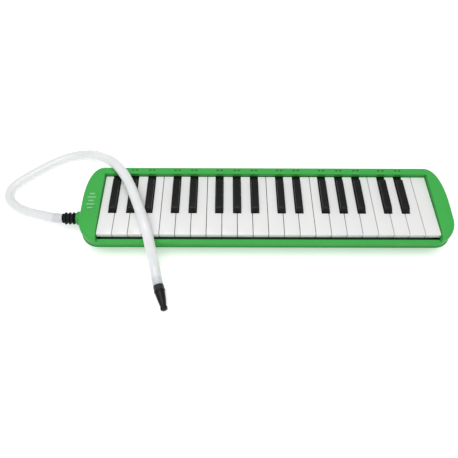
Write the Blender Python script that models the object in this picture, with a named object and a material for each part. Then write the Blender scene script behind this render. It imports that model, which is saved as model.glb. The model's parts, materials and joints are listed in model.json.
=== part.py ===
"""Melodica with 37 keys, a blow hose and a mouthpiece, at its real size in metres.

Frame: +X towards the treble end, +Y towards the back, +Z up. The origin is on the table,
under the middle of the keyboard. Each key turns about the steel rod behind its web: its front
goes down and the pad under its tail lifts off a hole in the reed chamber.
"""
import math

import bmesh
import bpy
from mathutils import Matrix, Vector

# ---------------------------------------------------------------- driving dimensions
GAP = 0.0003                      # clearance between neighbouring solids
OVERCUT = 0.002                   # how far a cutting block passes the faces it cuts

KEY_PITCH = 0.0177                # white key spacing
WHITE_COUNT = 22
FIRST_X = -WHITE_COUNT * KEY_PITCH / 2
KEY_TOP = 0.038                   # white key surface above the table
KEY_FRONT = -0.04315
KEY_BACK = 0.0389                 # end of the visible key, just in front of the case's back strip
WHITE_WIDTH = 0.0170
PLATE_THICK = 0.003
FRONT_WALL_DEPTH = 0.0062
FRONT_WALL_THICK = 0.0023

BLACK_TOP = 0.0435
BLACK_FRONT = -0.0140
BLACK_CAP_BACK = 0.0315
BLACK_TOP_WIDTH = 0.0080
BLACK_BASE_WIDTH = 0.0094
BLACK_BASE = 0.0330
BLACK_TAIL_TOP = 0.0374
BLACK_CLEAR = 0.0006              # between a black key and the notch of a white key

PIVOT_Y = 0.020
PIVOT_Z = 0.0268
ROD_RADIUS = 0.00125
WEB_WIDTH = 0.005
WEB_FRONT = 0.002
WEB_BOTTOM = 0.0243
WEB_NOSE = 0.0335                 # height of the web's front edge, under the key
WEB_CHIN = (0.008, 0.0290)        # (y, z) of the slope down to the web's bottom
WEB_SIDE = 0.008                  # flat foot of the web in front of the rod
WEB_HEEL = (0.026, 0.0258)        # (y, z) behind the rod, where the tail's underside starts
TAIL_ROOT = 0.0300                # top of the tail over the pad
TAIL_BEND = (0.0400, 0.0335)
TAIL_BACK = (0.0383, 0.0345)
NOTCH_STEPS = 6                   # sides of the half round over the rod
PAD_WIDTH = 0.008
PAD_FRONT = 0.0315
PAD_BACK = 0.0436
PAD_THICK = 0.0023
PAD_SINK = 0.0006                 # the pad's overlap with the tail
PAD_LIP = 0.0008                  # the tail's offset from the pad's ends

CASE_HALF = 0.2136                # from the middle of the keyboard to the treble end
BASS_EXTRA = 0.0031               # how much longer the bass end is
CASE_BACK = 0.0495
CASE_FRONT = -0.050
CASE_TOP = 0.043
CASE_FALL = 0.0045                # how far the end blocks' top falls towards the front
FALL_START = 0.010
SEAM_Z = 0.020                    # joint between the upper and the lower case
WALL = 0.0024
BACK_CORNER = (0.021, 0.052)      # semi-axes of the plan corners
FRONT_CORNER = (0.0225, 0.027)
BACK_POWER = 2.5                  # superellipse power of the back corners
CORNER_STEPS = 7
EDGE_ROUND = (0.0022, 0.0038, 0.0070)   # top edge radius at the back, the ends and the front
ROUND_STEPS = 3

TUB_INSET = 0.0002                # lower case under the upper case, at the seam
BASE_HALF = 0.2076                # lower case at the table
BASE_BACK = 0.047
BASE_FRONT = -0.0385
BASE_CORNER = (0.015, 0.030)      # semi-axes of its back corners at the table
BASE_EDGE = 0.0015
FLOOR_THICK = 0.0025

WINDOW_HALF = 0.1950              # opening for the keys
LIP_TOP = 0.031
LIP_BACK = -0.0455
LIP_THICK = 0.0022
STRIP_FRONT = 0.03935             # back strip's front wall
STRIP_WALL = 0.0022
STRIP_FOOT = 0.0385
RIB_THICK = 0.0020
RIB_FOOT = 0.031

CHAMBER_HALF = 0.1965
CHAMBER_FRONT = -0.033
CHAMBER_BACK = 0.0448
CHAMBER_FOOT = 0.0076
CHAMBER_WALL = 0.002
DECK_TOP = 0.0205
DECK_THICK = 0.003
DUCT_TOP = 0.0295
DUCT_BACK = -0.002
HOLE_SIZE = (0.0052, 0.0086)      # air hole under each pad
POST_TOP = 0.0296
POST_THICK = 0.0024
POST_HALF_DEPTH = 0.003
FELT_HALF = 0.1930
FELT_DEPTH = (-0.031, -0.025)
FELT_TOP = 0.0314
COMB_DEPTH = (-0.001, 0.006)      # the comb's strip, in front of its fingers
COMB_HALF = 0.1920
COMB_THICK = 0.0004
FINGER_WIDTH = 0.003
FINGER_TIP = (0.0134, 0.0231)     # (y, z) of each finger's end

BORE_GAP = ROD_RADIUS + GAP       # radius of what the rod runs in

PLATE_BOTTOM = 0.0157
PLATE_TOP = DECK_TOP - DECK_THICK - GAP
PLATE_DEPTH = (0.012, 0.0424)
PLATE_SPAN = (0.0006, 0.1935)
REED_BACK = 0.0415
REED_LONGEST = 0.026
REED_SHORTEST = 0.013
REED_SLOT = 0.0026

GASKET_BOTTOM = 0.0066
GASKET_TOP = CHAMBER_FOOT - GAP
GASKET_RING = 0.0026              # width of the foam ring
COVER_BACK = 0.0440
COVER_BOTTOM = 0.0033
COVER_TOP = GASKET_BOTTOM - GAP

AXIS_Y = -0.0113                  # blow port and drain button
AXIS_Z = 0.021
PORT_RADIUS = 0.0082
PORT_BORE = 0.0056
PORT_END = -0.2257
PORT_TAIL = -0.1969               # end of the port's tube, at the chamber
PORT_TUBE = 0.0070
PORT_CHAMFER = 0.0008
FLANGE = (0.0147, 0.0162)         # stop flange inside the case, from the port's end
FLANGE_RADIUS = 0.0096
CONNECTOR_END = -0.2423
RIB_COUNT = 3
RIB_RADIUS = 0.0075
RIB_FLAT = 0.0020
RIB_SLOPE = 0.0007
GROOVE_RADIUS = 0.0063
SPIGOT_RADIUS = 0.00525
SPIGOT_LENGTH = 0.0120
AIR_BORE = 0.0032

HOSE_RADIUS = 0.006
HOSE_SAMPLES = 72
# Route of the hose, from the connector to the mouthpiece
HOSE_ROUTE = [
    (-0.2426, -0.0113, 0.0210),
    (-0.2495, -0.0113, 0.0210),
    (-0.2631, -0.0076, 0.0196),
    (-0.2789, -0.0021, 0.0162),
    (-0.2958, 0.0054, 0.0118),
    (-0.3114, 0.0151, 0.0082),
    (-0.3215, 0.0254, 0.0065),
    (-0.3251, 0.0379, 0.0062),
    (-0.3200, 0.0494, 0.0062),
    (-0.3061, 0.0637, 0.0062),
    (-0.2906, 0.0769, 0.0062),
    (-0.2769, 0.0873, 0.0062),
    (-0.2634, 0.0944, 0.0067),
    (-0.2485, 0.0974, 0.0090),
    (-0.2323, 0.0944, 0.0145),
    (-0.2156, 0.0843, 0.0240),
    (-0.1999, 0.0690, 0.0366),
    (-0.1869, 0.0541, 0.0470),
    (-0.1776, 0.0434, 0.0505),
    (-0.1672, 0.0284, 0.0510),
    (-0.1605, 0.0158, 0.0510),
    (-0.1536, 0.0007, 0.0511),
    (-0.1471, -0.0149, 0.0510),
    (-0.1401, -0.0330, 0.0506),
    (-0.1369, -0.0415, 0.0490),
    (-0.1343, -0.0490, 0.0446),
    (-0.1332, -0.0546, 0.0380),
    (-0.1326, -0.0578, 0.0306),
    (-0.1321, -0.0606, 0.0226),
    (-0.1311, -0.0652, 0.0152),
    (-0.1291, -0.0724, 0.0102),
    (-0.1273, -0.0822, 0.0082),
    (-0.1258, -0.0868, 0.0078),
    (-0.1244, -0.0914, 0.0073),
]
MOUTH_START = (-0.1243, -0.0918, 0.0073)
MOUTH_END = (-0.1155, -0.1200, 0.0046)
MOUTH_BORE = 0.0020
COLLAR_RADIUS = 0.0059
COLLAR_LENGTH = 0.0055
RING_RADIUS = 0.0063
MOUTH_STEP = 0.0008               # length of each small slope
TIP_RADIUS = 0.0034
TIP_LIP = 0.0040
TIP_LENGTH = 0.0052

SCREW_PLACES = [(-0.2015, -0.025), (0.2010, -0.0215), (-0.2015, 0.020), (0.2010, 0.020)]
SCREW_SHANK = 0.0012
SCREW_HEAD = 0.0028
HEAD_SEAT = 0.0060
CASE_SCREW = (0.0265, 0.0018)     # length and head height
COVER_SCREW = (0.0115, 0.0012)
COLUMN_RADIUS = 0.0042
BOSS_RADIUS = 0.0034
BOSS_FOOT = 0.0225
COVER_SCREW_X = (-0.098, 0.098)
COVER_SCREW_Y = 0.004
COVER_BOSS_RADIUS = 0.003
COVER_SEAT = 0.0016               # depth of the seat in the cover

BUTTON_RADIUS = 0.0048
BUTTON_GAP = 0.0004
BUTTON_OUT = 0.2169
BUTTON_HEAD = 0.0065
BUTTON_CHAMFER = 0.0007
STEM_END = 0.1915                 # the stem's inner end
STEM_RADIUS = 0.0020
SEAL_RADIUS = 0.0048
SEAL_THICK = 0.0020
SPRING_RADIUS = 0.0034
SPRING_WIRE = 0.00035
SPRING_TURNS = 5

# Plan of an octave that starts on F, in white key pitches
BLACK_CENTRES = {0: 0.82, 1: 2.00, 2: 3.18, 4: 4.92, 5: 6.08}
OCTAVE = 7
NOTE_NAMES = ["F", "G", "A", "B", "C", "D", "E"]

GREEN = (0.065, 0.42, 0.10)
WHITE = (0.87, 0.88, 0.86)
BLACK = (0.025, 0.027, 0.027)


# ---------------------------------------------------------------- materials
def material(name, colour, roughness, metallic=0.0):
    """Principled material, made once for each name."""
    found = bpy.data.materials.get(name)
    if found:
        return found
    made = bpy.data.materials.new(name)
    made.use_nodes = True
    shader = made.node_tree.nodes["Principled BSDF"]
    shader.inputs["Base Color"].default_value = (*colour, 1.0)
    shader.inputs["Roughness"].default_value = roughness
    shader.inputs["Metallic"].default_value = metallic
    made.diffuse_color = (*colour, 1.0)
    return made


# ---------------------------------------------------------------- modelling helpers
def add_object(name, bm, finish=None):
    """Turn a bmesh into an object in the scene."""
    bmesh.ops.recalc_face_normals(bm, faces=bm.faces)
    mesh = bpy.data.meshes.new(name)
    bm.to_mesh(mesh)
    bm.free()
    obj = bpy.data.objects.new(name, mesh)
    bpy.context.collection.objects.link(obj)
    if finish:
        mesh.materials.append(finish)
    return obj


def loft(rings, cap=True):
    """Closed body through rings of points; each ring has the same number of points."""
    bm = bmesh.new()
    rows = [[bm.verts.new(p) for p in ring] for ring in rings]
    count = len(rows[0])
    for low, high in zip(rows, rows[1:]):
        for i in range(count):
            j = (i + 1) % count
            bm.faces.new((low[i], low[j], high[j], high[i]))
    if cap:
        bm.faces.new(rows[0])
        bm.faces.new(rows[-1])
    return bm


def box(name, x, y, z, finish=None):
    """Block between the pairs x, y and z."""
    rings = [[(x[0], y[0], h), (x[1], y[0], h), (x[1], y[1], h), (x[0], y[1], h)] for h in z]
    return add_object(name, loft(rings), finish)


def prism_x(name, outline, x_low, x_high, finish=None):
    """Outline of (y, z) points pushed along X."""
    rings = [[(x, y, z) for y, z in outline] for x in (x_low, x_high)]
    return add_object(name, loft(rings), finish)


def circle(radius, sides):
    """Points of a circle, as pairs."""
    turn = 2 * math.pi / sides
    return [(radius * math.cos(i * turn), radius * math.sin(i * turn)) for i in range(sides)]


def cylinder_z(name, x, y, z_low, z_high, radius, sides=16):
    """Upright cylinder."""
    rings = [[(x + a, y + b, z) for a, b in circle(radius, sides)] for z in (z_low, z_high)]
    return add_object(name, loft(rings))


def cylinder_x(name, x_low, x_high, y, z, radius, sides=16, finish=None):
    """Cylinder along X."""
    rings = [[(x, y + a, z + b) for a, b in circle(radius, sides)] for x in (x_low, x_high)]
    return add_object(name, loft(rings), finish)


def turned(name, profile, start, along, sides, finish, hollow):
    """Turn a profile of (distance, radius) pairs about the axis from start along a direction.

    A hollow profile is a closed outline round the wall, so the piece has a bore.
    """
    along = Vector(along).normalized()
    side = along.orthogonal().normalized()
    up = along.cross(side)
    rings = []
    for distance, radius in profile:
        centre = Vector(start) + along * distance
        rings.append([centre + side * a + up * b for a, b in circle(radius, sides)])
    if hollow:
        rings.append(rings[0])
    bm = loft(rings, cap=not hollow)
    if hollow:
        bmesh.ops.remove_doubles(bm, verts=bm.verts, dist=1e-7)
    obj = add_object(name, bm, finish)
    smooth(obj)
    return obj


def smooth(obj, angle=35):
    """Shade an object smooth apart from its sharp edges."""
    obj.data.shade_smooth()
    obj.data.set_sharp_from_angle(angle=math.radians(angle))


def combine(target, operation, *others):
    """Apply Boolean operations of others on target, and remove the others."""
    for other in others:
        step = target.modifiers.new("combine", "BOOLEAN")
        step.operation = operation
        step.solver = "EXACT"
        step.object = other
    graph = bpy.context.evaluated_depsgraph_get()
    result = bpy.data.meshes.new_from_object(target.evaluated_get(graph))
    target.modifiers.clear()
    old = target.data
    target.data = result
    result.name = old.name
    bpy.data.meshes.remove(old)
    for other in others:
        mesh = other.data
        bpy.data.objects.remove(other)
        bpy.data.meshes.remove(mesh)
    return target


def tidy_faces(obj):
    """Join flat neighbouring faces, so the solid has no needless edges."""
    bm = bmesh.new()
    bm.from_mesh(obj.data)
    bmesh.ops.dissolve_limit(bm, angle_limit=math.radians(0.5), verts=bm.verts, edges=bm.edges)
    bmesh.ops.triangulate(bm, faces=[f for f in bm.faces if len(f.verts) > 4])
    bm.to_mesh(obj.data)
    bm.free()
    return obj


# ---------------------------------------------------------------- case
def case_profile(y):
    """Height of the upper case's top at depth y."""
    if y >= FALL_START:
        return CASE_TOP
    share = (FALL_START - y) / (FALL_START - CASE_FRONT)
    return CASE_TOP - CASE_FALL * share ** 1.6


def corner_points(half, back, front, shrink, corner=BACK_CORNER):
    """Right half of a plan outline, from the back edge round to the front edge."""
    points = []
    for step in range(CORNER_STEPS + 1):
        angle = math.pi / 2 * (1 - step / CORNER_STEPS)
        a = corner[0] - shrink
        b = corner[1] - shrink
        across = a * max(math.cos(angle), 0.0) ** (2 / BACK_POWER)
        deep = b * max(math.sin(angle), 0.0) ** (2 / BACK_POWER)
        points.append((half - shrink - a + across, back - shrink - b + deep))
    for step in range(CORNER_STEPS + 1):
        angle = math.pi / 2 * step / CORNER_STEPS
        a = FRONT_CORNER[0] - shrink
        b = FRONT_CORNER[1] - shrink
        across = a * math.cos(angle)
        deep = b * math.sin(angle)
        points.append((half - shrink - a + across, front + shrink + b - deep))
    return points


def mirrored(points):
    """Close a right half outline with its mirror image, moved outwards at the bass end."""
    return points + [(-x - BASS_EXTRA, y, *rest) for x, y, *rest in reversed(points)]


def edge_radius(index):
    """Top edge radius at a point of the half outline."""
    back, side, front = EDGE_ROUND
    if index <= CORNER_STEPS:
        return back + (side - back) * index / CORNER_STEPS
    return side + (front - side) * (index - CORNER_STEPS - 1) / CORNER_STEPS


def case_form(name, inset, lowering, z_low):
    """Upper case's outer form, or its hollow when inset and lowered."""
    rings = []
    ring_low = [(x, y, z_low) for x, y in corner_points(CASE_HALF, CASE_BACK, CASE_FRONT, inset)]
    rings.append(mirrored(ring_low))
    for step in range(ROUND_STEPS + 1):
        angle = math.pi / 2 * step / ROUND_STEPS
        ring = []
        for index in range(2 * CORNER_STEPS + 2):
            radius = max(edge_radius(index) - inset, 0.0006)
            shrink = inset + radius * (1 - math.cos(angle))
            x, y = corner_points(CASE_HALF, CASE_BACK, CASE_FRONT, shrink)[index]
            top = case_profile(y) - lowering
            ring.append((x, y, top - radius * (1 - math.sin(angle))))
        rings.append(mirrored(ring))
    bm = loft(rings, cap=False)
    bm.verts.ensure_lookup_table()
    count = len(rings[0])
    last = len(rings) - 1
    for row in (0, last):
        ring = [bm.verts[row * count + i] for i in range(count)]
        for i in range(count // 2 - 1):
            bm.faces.new((ring[i], ring[i + 1], ring[count - 2 - i], ring[count - 1 - i]))
    return add_object(name, bm)


def make_top_case(finish):
    """Green upper case: end blocks, back strip, front lip and skirt, in one moulding."""
    case = case_form("top_case", 0.0, 0.0, SEAM_Z)
    case.data.materials.append(finish)
    hollow = case_form("hollow", WALL, LIP_THICK, SEAM_Z - 0.004)
    high = CASE_TOP + 0.01
    inner = WINDOW_HALF + RIB_THICK
    keep = [
        box("lip", (-inner, inner), (CASE_FRONT - 0.01, LIP_BACK), (LIP_TOP - LIP_THICK, high)),
        box("rib_left", (-inner, -WINDOW_HALF), (-0.06, 0.06), (RIB_FOOT, high)),
        box("rib_right", (WINDOW_HALF, inner), (-0.06, 0.06), (RIB_FOOT, high)),
        box("strip", (-inner, inner), (STRIP_FRONT, STRIP_FRONT + STRIP_WALL), (STRIP_FOOT, high)),
    ]
    for x, y in SCREW_PLACES:
        keep.append(cylinder_z("boss", x, y, BOSS_FOOT, case_profile(y), BOSS_RADIUS, 12))
    combine(hollow, "DIFFERENCE", *keep)
    cuts = [
        hollow,
        box("window", (-WINDOW_HALF, WINDOW_HALF), (LIP_BACK, STRIP_FRONT), (0.0, high)),
        box("lowering", (-WINDOW_HALF, WINDOW_HALF), (-0.06, LIP_BACK + 0.001), (LIP_TOP, high)),
        cylinder_x("port_hole", -0.23, -0.205, AXIS_Y, AXIS_Z, PORT_RADIUS + GAP, 24),
        cylinder_x("button_hole", 0.205, 0.23, AXIS_Y, AXIS_Z, BUTTON_RADIUS + BUTTON_GAP, 20),
    ]
    for x, y in SCREW_PLACES:
        cuts.append(cylinder_z("pilot", x, y, 0.015, 0.034, SCREW_SHANK + GAP, 8))
    combine(case, "DIFFERENCE", *cuts)
    smooth(tidy_faces(case), 30)
    return case


def tub_form(name, shrink, z_low, z_high):
    """Lower case's outer form between two heights, or its hollow when shrunk."""
    rings = []
    edge = BASE_EDGE if shrink == 0.0 else 0.0
    levels = [(z_low, edge), (z_low + edge, 0.0), (z_high, 0.0)]
    if edge == 0.0:
        levels = [(z_low, 0.0), (z_high, 0.0)]
    for z, pinch in levels:
        share = z / SEAM_Z
        half = BASE_HALF + (CASE_HALF - TUB_INSET - BASE_HALF) * share
        back = BASE_BACK + (CASE_BACK - TUB_INSET - BASE_BACK) * share
        front = BASE_FRONT + (CASE_FRONT + TUB_INSET - BASE_FRONT) * share
        corner = [low + (high - low) * share for low, high in zip(BASE_CORNER, BACK_CORNER)]
        ring = [(x, y, z) for x, y in corner_points(half, back, front, shrink + pinch, corner)]
        rings.append(mirrored(ring))
    return add_object(name, loft(rings))


def make_bottom_case(finish):
    """Lower case: a tapered tub with columns for the case screws."""
    top = SEAM_Z - GAP
    tub = tub_form("bottom_case", 0.0, 0.0, top)
    tub.data.materials.append(finish)
    combine(tub, "DIFFERENCE", tub_form("hollow", WALL, FLOOR_THICK, top + 0.002))
    columns = []
    holes = []
    for x, y in SCREW_PLACES:
        columns.append(cylinder_z("column", x, y, 0.001, BOSS_FOOT - GAP, COLUMN_RADIUS, 16))
        holes.append(cylinder_z("seat", x, y, -0.002, HEAD_SEAT, SCREW_HEAD + GAP, 16))
        holes.append(cylinder_z("bore", x, y, 0.0, 0.03, SCREW_SHANK + GAP, 8))
    combine(tub, "UNION", *columns)
    holes.append(cylinder_x("port_hole", -0.23, -0.205, AXIS_Y, AXIS_Z, PORT_RADIUS + GAP, 24))
    holes.append(cylinder_x("button_hole", 0.205, 0.23, AXIS_Y, AXIS_Z, BUTTON_RADIUS + BUTTON_GAP, 20))
    combine(tub, "DIFFERENCE", *holes)
    smooth(tidy_faces(tub), 30)
    return tub


# ---------------------------------------------------------------- key layout
def key_layout():
    """List every key as (name, kind, left boundary x, web centre x, left notch, right notch)."""
    keys = []
    half_notch = BLACK_BASE_WIDTH / 2 + BLACK_CLEAR
    for white in range(WHITE_COUNT):
        place = white % OCTAVE
        number = 3 + (white + 3) // OCTAVE
        left_x = FIRST_X + white * KEY_PITCH
        low = left_x + (KEY_PITCH - WHITE_WIDTH) / 2
        high = low + WHITE_WIDTH
        start = FIRST_X + (white - place) * KEY_PITCH
        notch_low = low
        notch_high = high
        before = BLACK_CENTRES.get(place - 1)
        after = BLACK_CENTRES.get(place)
        if before and white > 0:
            notch_low = start + before * KEY_PITCH + half_notch
        if after and white < WHITE_COUNT - 1:
            notch_high = start + after * KEY_PITCH - half_notch
        letter = NOTE_NAMES[place]
        keys.append(("key_%s%d" % (letter, number), "white", low, high, notch_low, notch_high))
        if after and white < WHITE_COUNT - 1:
            centre = start + after * KEY_PITCH
            keys.append(("key_%ss%d" % (letter, number), "black", centre, centre, centre, centre))
    return keys


def web_centres():
    """Centre of each key's web, in order from bass to treble."""
    return [(low + high) / 2 for _, _, _, _, low, high in key_layout()]


def web_outline(top):
    """Side view of a key's web, with its open notch over the rod and its tail."""
    notch = []
    holder = DECK_TOP + GAP + PAD_THICK - PAD_SINK
    for step in range(NOTCH_STEPS + 1):
        angle = math.pi * (1 - step / NOTCH_STEPS)
        y = PIVOT_Y + BORE_GAP * math.cos(angle)
        notch.append((y, PIVOT_Z + BORE_GAP * math.sin(angle)))
    front = [
        (WEB_FRONT, top),
        (WEB_FRONT, WEB_NOSE),
        WEB_CHIN,
        (PIVOT_Y - WEB_SIDE, WEB_BOTTOM),
        (PIVOT_Y - BORE_GAP, WEB_BOTTOM),
    ]
    back = [
        (PIVOT_Y + BORE_GAP, WEB_BOTTOM),
        (WEB_HEEL[0], WEB_BOTTOM),
        (PAD_FRONT + PAD_LIP, WEB_HEEL[1]),
        (PAD_FRONT + PAD_LIP, holder),
        (PAD_BACK + PAD_LIP, holder),
        (PAD_BACK + PAD_LIP, TAIL_ROOT),
        TAIL_BEND,
        TAIL_BACK,
        (TAIL_BACK[0], top),
    ]
    return front + notch + back


def web_parts(centre, top):
    """Web and pad of one key."""
    half = WEB_WIDTH / 2
    web = prism_x("web", web_outline(top), centre - half, centre + half)
    span = (centre - PAD_WIDTH / 2, centre + PAD_WIDTH / 2)
    pad = box("pad", span, (PAD_FRONT, PAD_BACK), (DECK_TOP + GAP, DECK_TOP + GAP + PAD_THICK))
    return web, pad


def make_white_key(name, low, high, notch_low, notch_high, finish):
    """White key: plate with a front wall, notches beside black keys, web and pad."""
    bottom = KEY_TOP - PLATE_THICK
    outline = [
        (KEY_FRONT, KEY_TOP),
        (KEY_FRONT, KEY_TOP - FRONT_WALL_DEPTH),
        (KEY_FRONT + FRONT_WALL_THICK, KEY_TOP - FRONT_WALL_DEPTH),
        (KEY_FRONT + FRONT_WALL_THICK, bottom),
        (KEY_BACK, bottom),
        (KEY_BACK, KEY_TOP),
    ]
    key = prism_x(name, outline, low, high, finish)
    front = BLACK_FRONT - BLACK_CLEAR
    cuts = []
    if notch_low > low:
        cuts.append(box("notch", (low - 0.002, notch_low), (front, 0.06), (0.02, 0.05)))
    if notch_high < high:
        cuts.append(box("notch", (notch_high, high + 0.002), (front, 0.06), (0.02, 0.05)))
    if cuts:
        combine(key, "DIFFERENCE", *cuts)
    combine(key, "UNION", *web_parts((notch_low + notch_high) / 2, KEY_TOP - 0.0012))
    return tidy_faces(key)


def make_black_key(name, centre, finish):
    """Black key: tapered cap, low tail, web and pad."""
    rings = []
    for z, width, front, back in (
        (BLACK_BASE, BLACK_BASE_WIDTH, BLACK_FRONT, BLACK_CAP_BACK + 0.0004),
        (BLACK_TOP - 0.0008, BLACK_TOP_WIDTH + 0.0002, BLACK_FRONT + 0.0005, BLACK_CAP_BACK),
        (BLACK_TOP, BLACK_TOP_WIDTH - 0.0014, BLACK_FRONT + 0.0013, BLACK_CAP_BACK - 0.0008),
    ):
        left = centre - width / 2
        right = centre + width / 2
        rings.append([(left, front, z), (right, front, z), (right, back, z), (left, back, z)])
    key = add_object(name, loft(rings), finish)
    tail_half = BLACK_BASE_WIDTH / 2 - 0.0003
    tail = box("tail", (centre - tail_half, centre + tail_half), (0.028, KEY_BACK),
               (BLACK_BASE + 0.0003, BLACK_TAIL_TOP))
    combine(key, "UNION", tail, *web_parts(centre, BLACK_BASE + 0.002))
    return tidy_faces(key)


def set_origin(obj, point):
    """Move an object's origin to a point and leave its mesh where it is."""
    obj.data.transform(Matrix.Translation(-Vector(point)))
    obj.location = point


def make_keys(ivory, ebony):
    """All keys, each with its origin on the rod's axis."""
    for name, kind, low, high, notch_low, notch_high in key_layout():
        if kind == "white":
            key = make_white_key(name, low, high, notch_low, notch_high, ivory)
        else:
            key = make_black_key(name, low, ebony)
        set_origin(key, ((notch_low + notch_high) / 2, PIVOT_Y, PIVOT_Z))


# ---------------------------------------------------------------- air chamber
def chamber_outline(wall):
    """Side view of the reed chamber: a tall duct in front and a low deck behind."""
    foot = CHAMBER_FOOT if wall == 0.0 else CHAMBER_FOOT - 0.002
    deck = DECK_TOP if wall == 0.0 else DECK_TOP - DECK_THICK
    return [
        (CHAMBER_FRONT + wall, foot),
        (CHAMBER_BACK - wall, foot),
        (CHAMBER_BACK - wall, deck),
        (DUCT_BACK - wall, deck),
        (DUCT_BACK - wall, DUCT_TOP - wall),
        (CHAMBER_FRONT + wall, DUCT_TOP - wall),
    ]


def post_places():
    """X of the posts that hold the rod: both ends and between every pair of close white keys."""
    centres = web_centres()
    layout = key_layout()
    places = [-CHAMBER_HALF + POST_THICK / 2, CHAMBER_HALF - POST_THICK / 2]
    for index in range(len(layout) - 1):
        if layout[index][1] == layout[index + 1][1]:
            places.append((centres[index] + centres[index + 1]) / 2)
    return places


def make_chamber(finish):
    """Reed chamber: holes under the pads in its deck, posts for the rod on it."""
    chamber = prism_x("reed_chamber", chamber_outline(0.0), -CHAMBER_HALF, CHAMBER_HALF, finish)
    inner = CHAMBER_HALF - CHAMBER_WALL
    combine(chamber, "DIFFERENCE", prism_x("air", chamber_outline(CHAMBER_WALL), -inner, inner))
    added = []
    for x in post_places():
        half = POST_THICK / 2
        depth = (PIVOT_Y - POST_HALF_DEPTH, PIVOT_Y + POST_HALF_DEPTH)
        added.append(box("post", (x - half, x + half), depth, (DECK_TOP - 0.001, POST_TOP)))
    for x in COVER_SCREW_X:
        added.append(cylinder_z("boss", x, COVER_SCREW_Y, CHAMBER_FOOT, DECK_TOP - 0.001,
                                COVER_BOSS_RADIUS, 12))
    combine(chamber, "UNION", *added)
    middle = (PAD_FRONT + PAD_BACK) / 2
    deep = (middle - HOLE_SIZE[1] / 2, middle + HOLE_SIZE[1] / 2)
    cuts = []
    for x in web_centres():
        span = (x - HOLE_SIZE[0] / 2, x + HOLE_SIZE[0] / 2)
        cuts.append(box("hole", span, deep, (DECK_TOP - 0.005, DECK_TOP + 0.002)))
    cuts.append(cylinder_x("rod_hole", -0.2, 0.2, PIVOT_Y, PIVOT_Z, BORE_GAP, 12))
    cuts.append(cylinder_x("port", -0.2, -0.19, AXIS_Y, AXIS_Z, 0.005, 16))
    cuts.append(cylinder_x("drain", 0.19, 0.2, AXIS_Y, AXIS_Z, 0.0032, 14))
    for x in COVER_SCREW_X:
        cuts.append(cylinder_z("pilot", x, COVER_SCREW_Y, 0.005, 0.0165, SCREW_SHANK + GAP, 8))
    combine(chamber, "DIFFERENCE", *cuts)
    return tidy_faces(chamber)


def make_cover(finish):
    """Plate that closes the chamber from below, with seats for its two screws."""
    cover = box("chamber_cover", (-CHAMBER_HALF, CHAMBER_HALF), (CHAMBER_FRONT, COVER_BACK),
                (COVER_BOTTOM, COVER_TOP), finish)
    cuts = []
    for x in COVER_SCREW_X:
        cuts.append(cylinder_z("bore", x, COVER_SCREW_Y, 0.0, 0.01, SCREW_SHANK + GAP, 8))
        cuts.append(cylinder_z("seat", x, COVER_SCREW_Y, 0.0, COVER_BOTTOM + COVER_SEAT,
                               SCREW_HEAD + GAP, 16))
    combine(cover, "DIFFERENCE", *cuts)
    return tidy_faces(cover)


def make_gasket(finish):
    """Foam ring between the chamber's wall and its cover."""
    gasket = box("chamber_gasket", (-CHAMBER_HALF, CHAMBER_HALF), (CHAMBER_FRONT, COVER_BACK),
                 (GASKET_BOTTOM, GASKET_TOP), finish)
    inner = CHAMBER_HALF - GASKET_RING
    hole = box("hole", (-inner, inner), (CHAMBER_FRONT + GASKET_RING, COVER_BACK - GASKET_RING),
               (0.0, CHAMBER_FOOT))
    return combine(gasket, "DIFFERENCE", hole)


def make_reed_plate(name, x_low, x_high, finish):
    """Brass plate with one reed slot for each key above it, longer towards the bass."""
    plate = box(name, (x_low, x_high), PLATE_DEPTH, (PLATE_BOTTOM, PLATE_TOP), finish)
    centres = web_centres()
    cuts = []
    for index, x in enumerate(centres):
        if x_low < x < x_high:
            share = index / (len(centres) - 1)
            length = REED_LONGEST + (REED_SHORTEST - REED_LONGEST) * share
            span = (x - REED_SLOT / 2, x + REED_SLOT / 2)
            cuts.append(box("slot", span, (REED_BACK - length, REED_BACK),
                            (PLATE_BOTTOM - OVERCUT, PLATE_TOP + OVERCUT)))
    combine(plate, "DIFFERENCE", *cuts)
    return tidy_faces(plate)


# ---------------------------------------------------------------- key action
def make_rod(finish):
    """Steel rod that every key turns on."""
    half = CHAMBER_HALF - 0.0002
    rod = cylinder_x("pivot_rod", -half, half, PIVOT_Y, PIVOT_Z, ROD_RADIUS, 10, finish)
    smooth(rod)
    return rod


def make_spring_comb(finish):
    """Sheet steel comb: one finger under each key's web, just in front of the rod."""
    front, root = COMB_DEPTH
    tip, rise = FINGER_TIP
    half = FINGER_WIDTH / 2
    low = DECK_TOP + GAP
    bm = bmesh.new()

    def corner(x, y, z):
        return bm.verts.new((x, y, z)), bm.verts.new((x, y, z + COMB_THICK))

    ends = COMB_HALF
    outline = [corner(-ends, front, low), corner(ends, front, low), corner(ends, root, low)]
    fingers = []
    for x in reversed(web_centres()):
        right = corner(x + half, root, low)
        left = corner(x - half, root, low)
        far_right = corner(x + half, tip, rise)
        far_left = corner(x - half, tip, rise)
        outline += [right, left]
        fingers.append((right, far_right, far_left, left))
    outline.append(corner(-ends, root, low))
    bm.faces.new([pair[0] for pair in outline])
    bm.faces.new([pair[1] for pair in outline])
    for finger in fingers:
        bm.faces.new([pair[0] for pair in finger])
        bm.faces.new([pair[1] for pair in finger])
        for a, b in zip(finger, finger[1:]):
            bm.faces.new((a[0], b[0], b[1], a[1]))
    roots = [(finger[0], finger[3]) for finger in fingers]
    for i, a in enumerate(outline):
        b = outline[(i + 1) % len(outline)]
        if (a, b) not in roots:
            bm.faces.new((a[0], b[0], b[1], a[1]))
    bmesh.ops.triangulate(bm, faces=[f for f in bm.faces if len(f.verts) > 4])
    return add_object("spring_comb", bm, finish)


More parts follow.
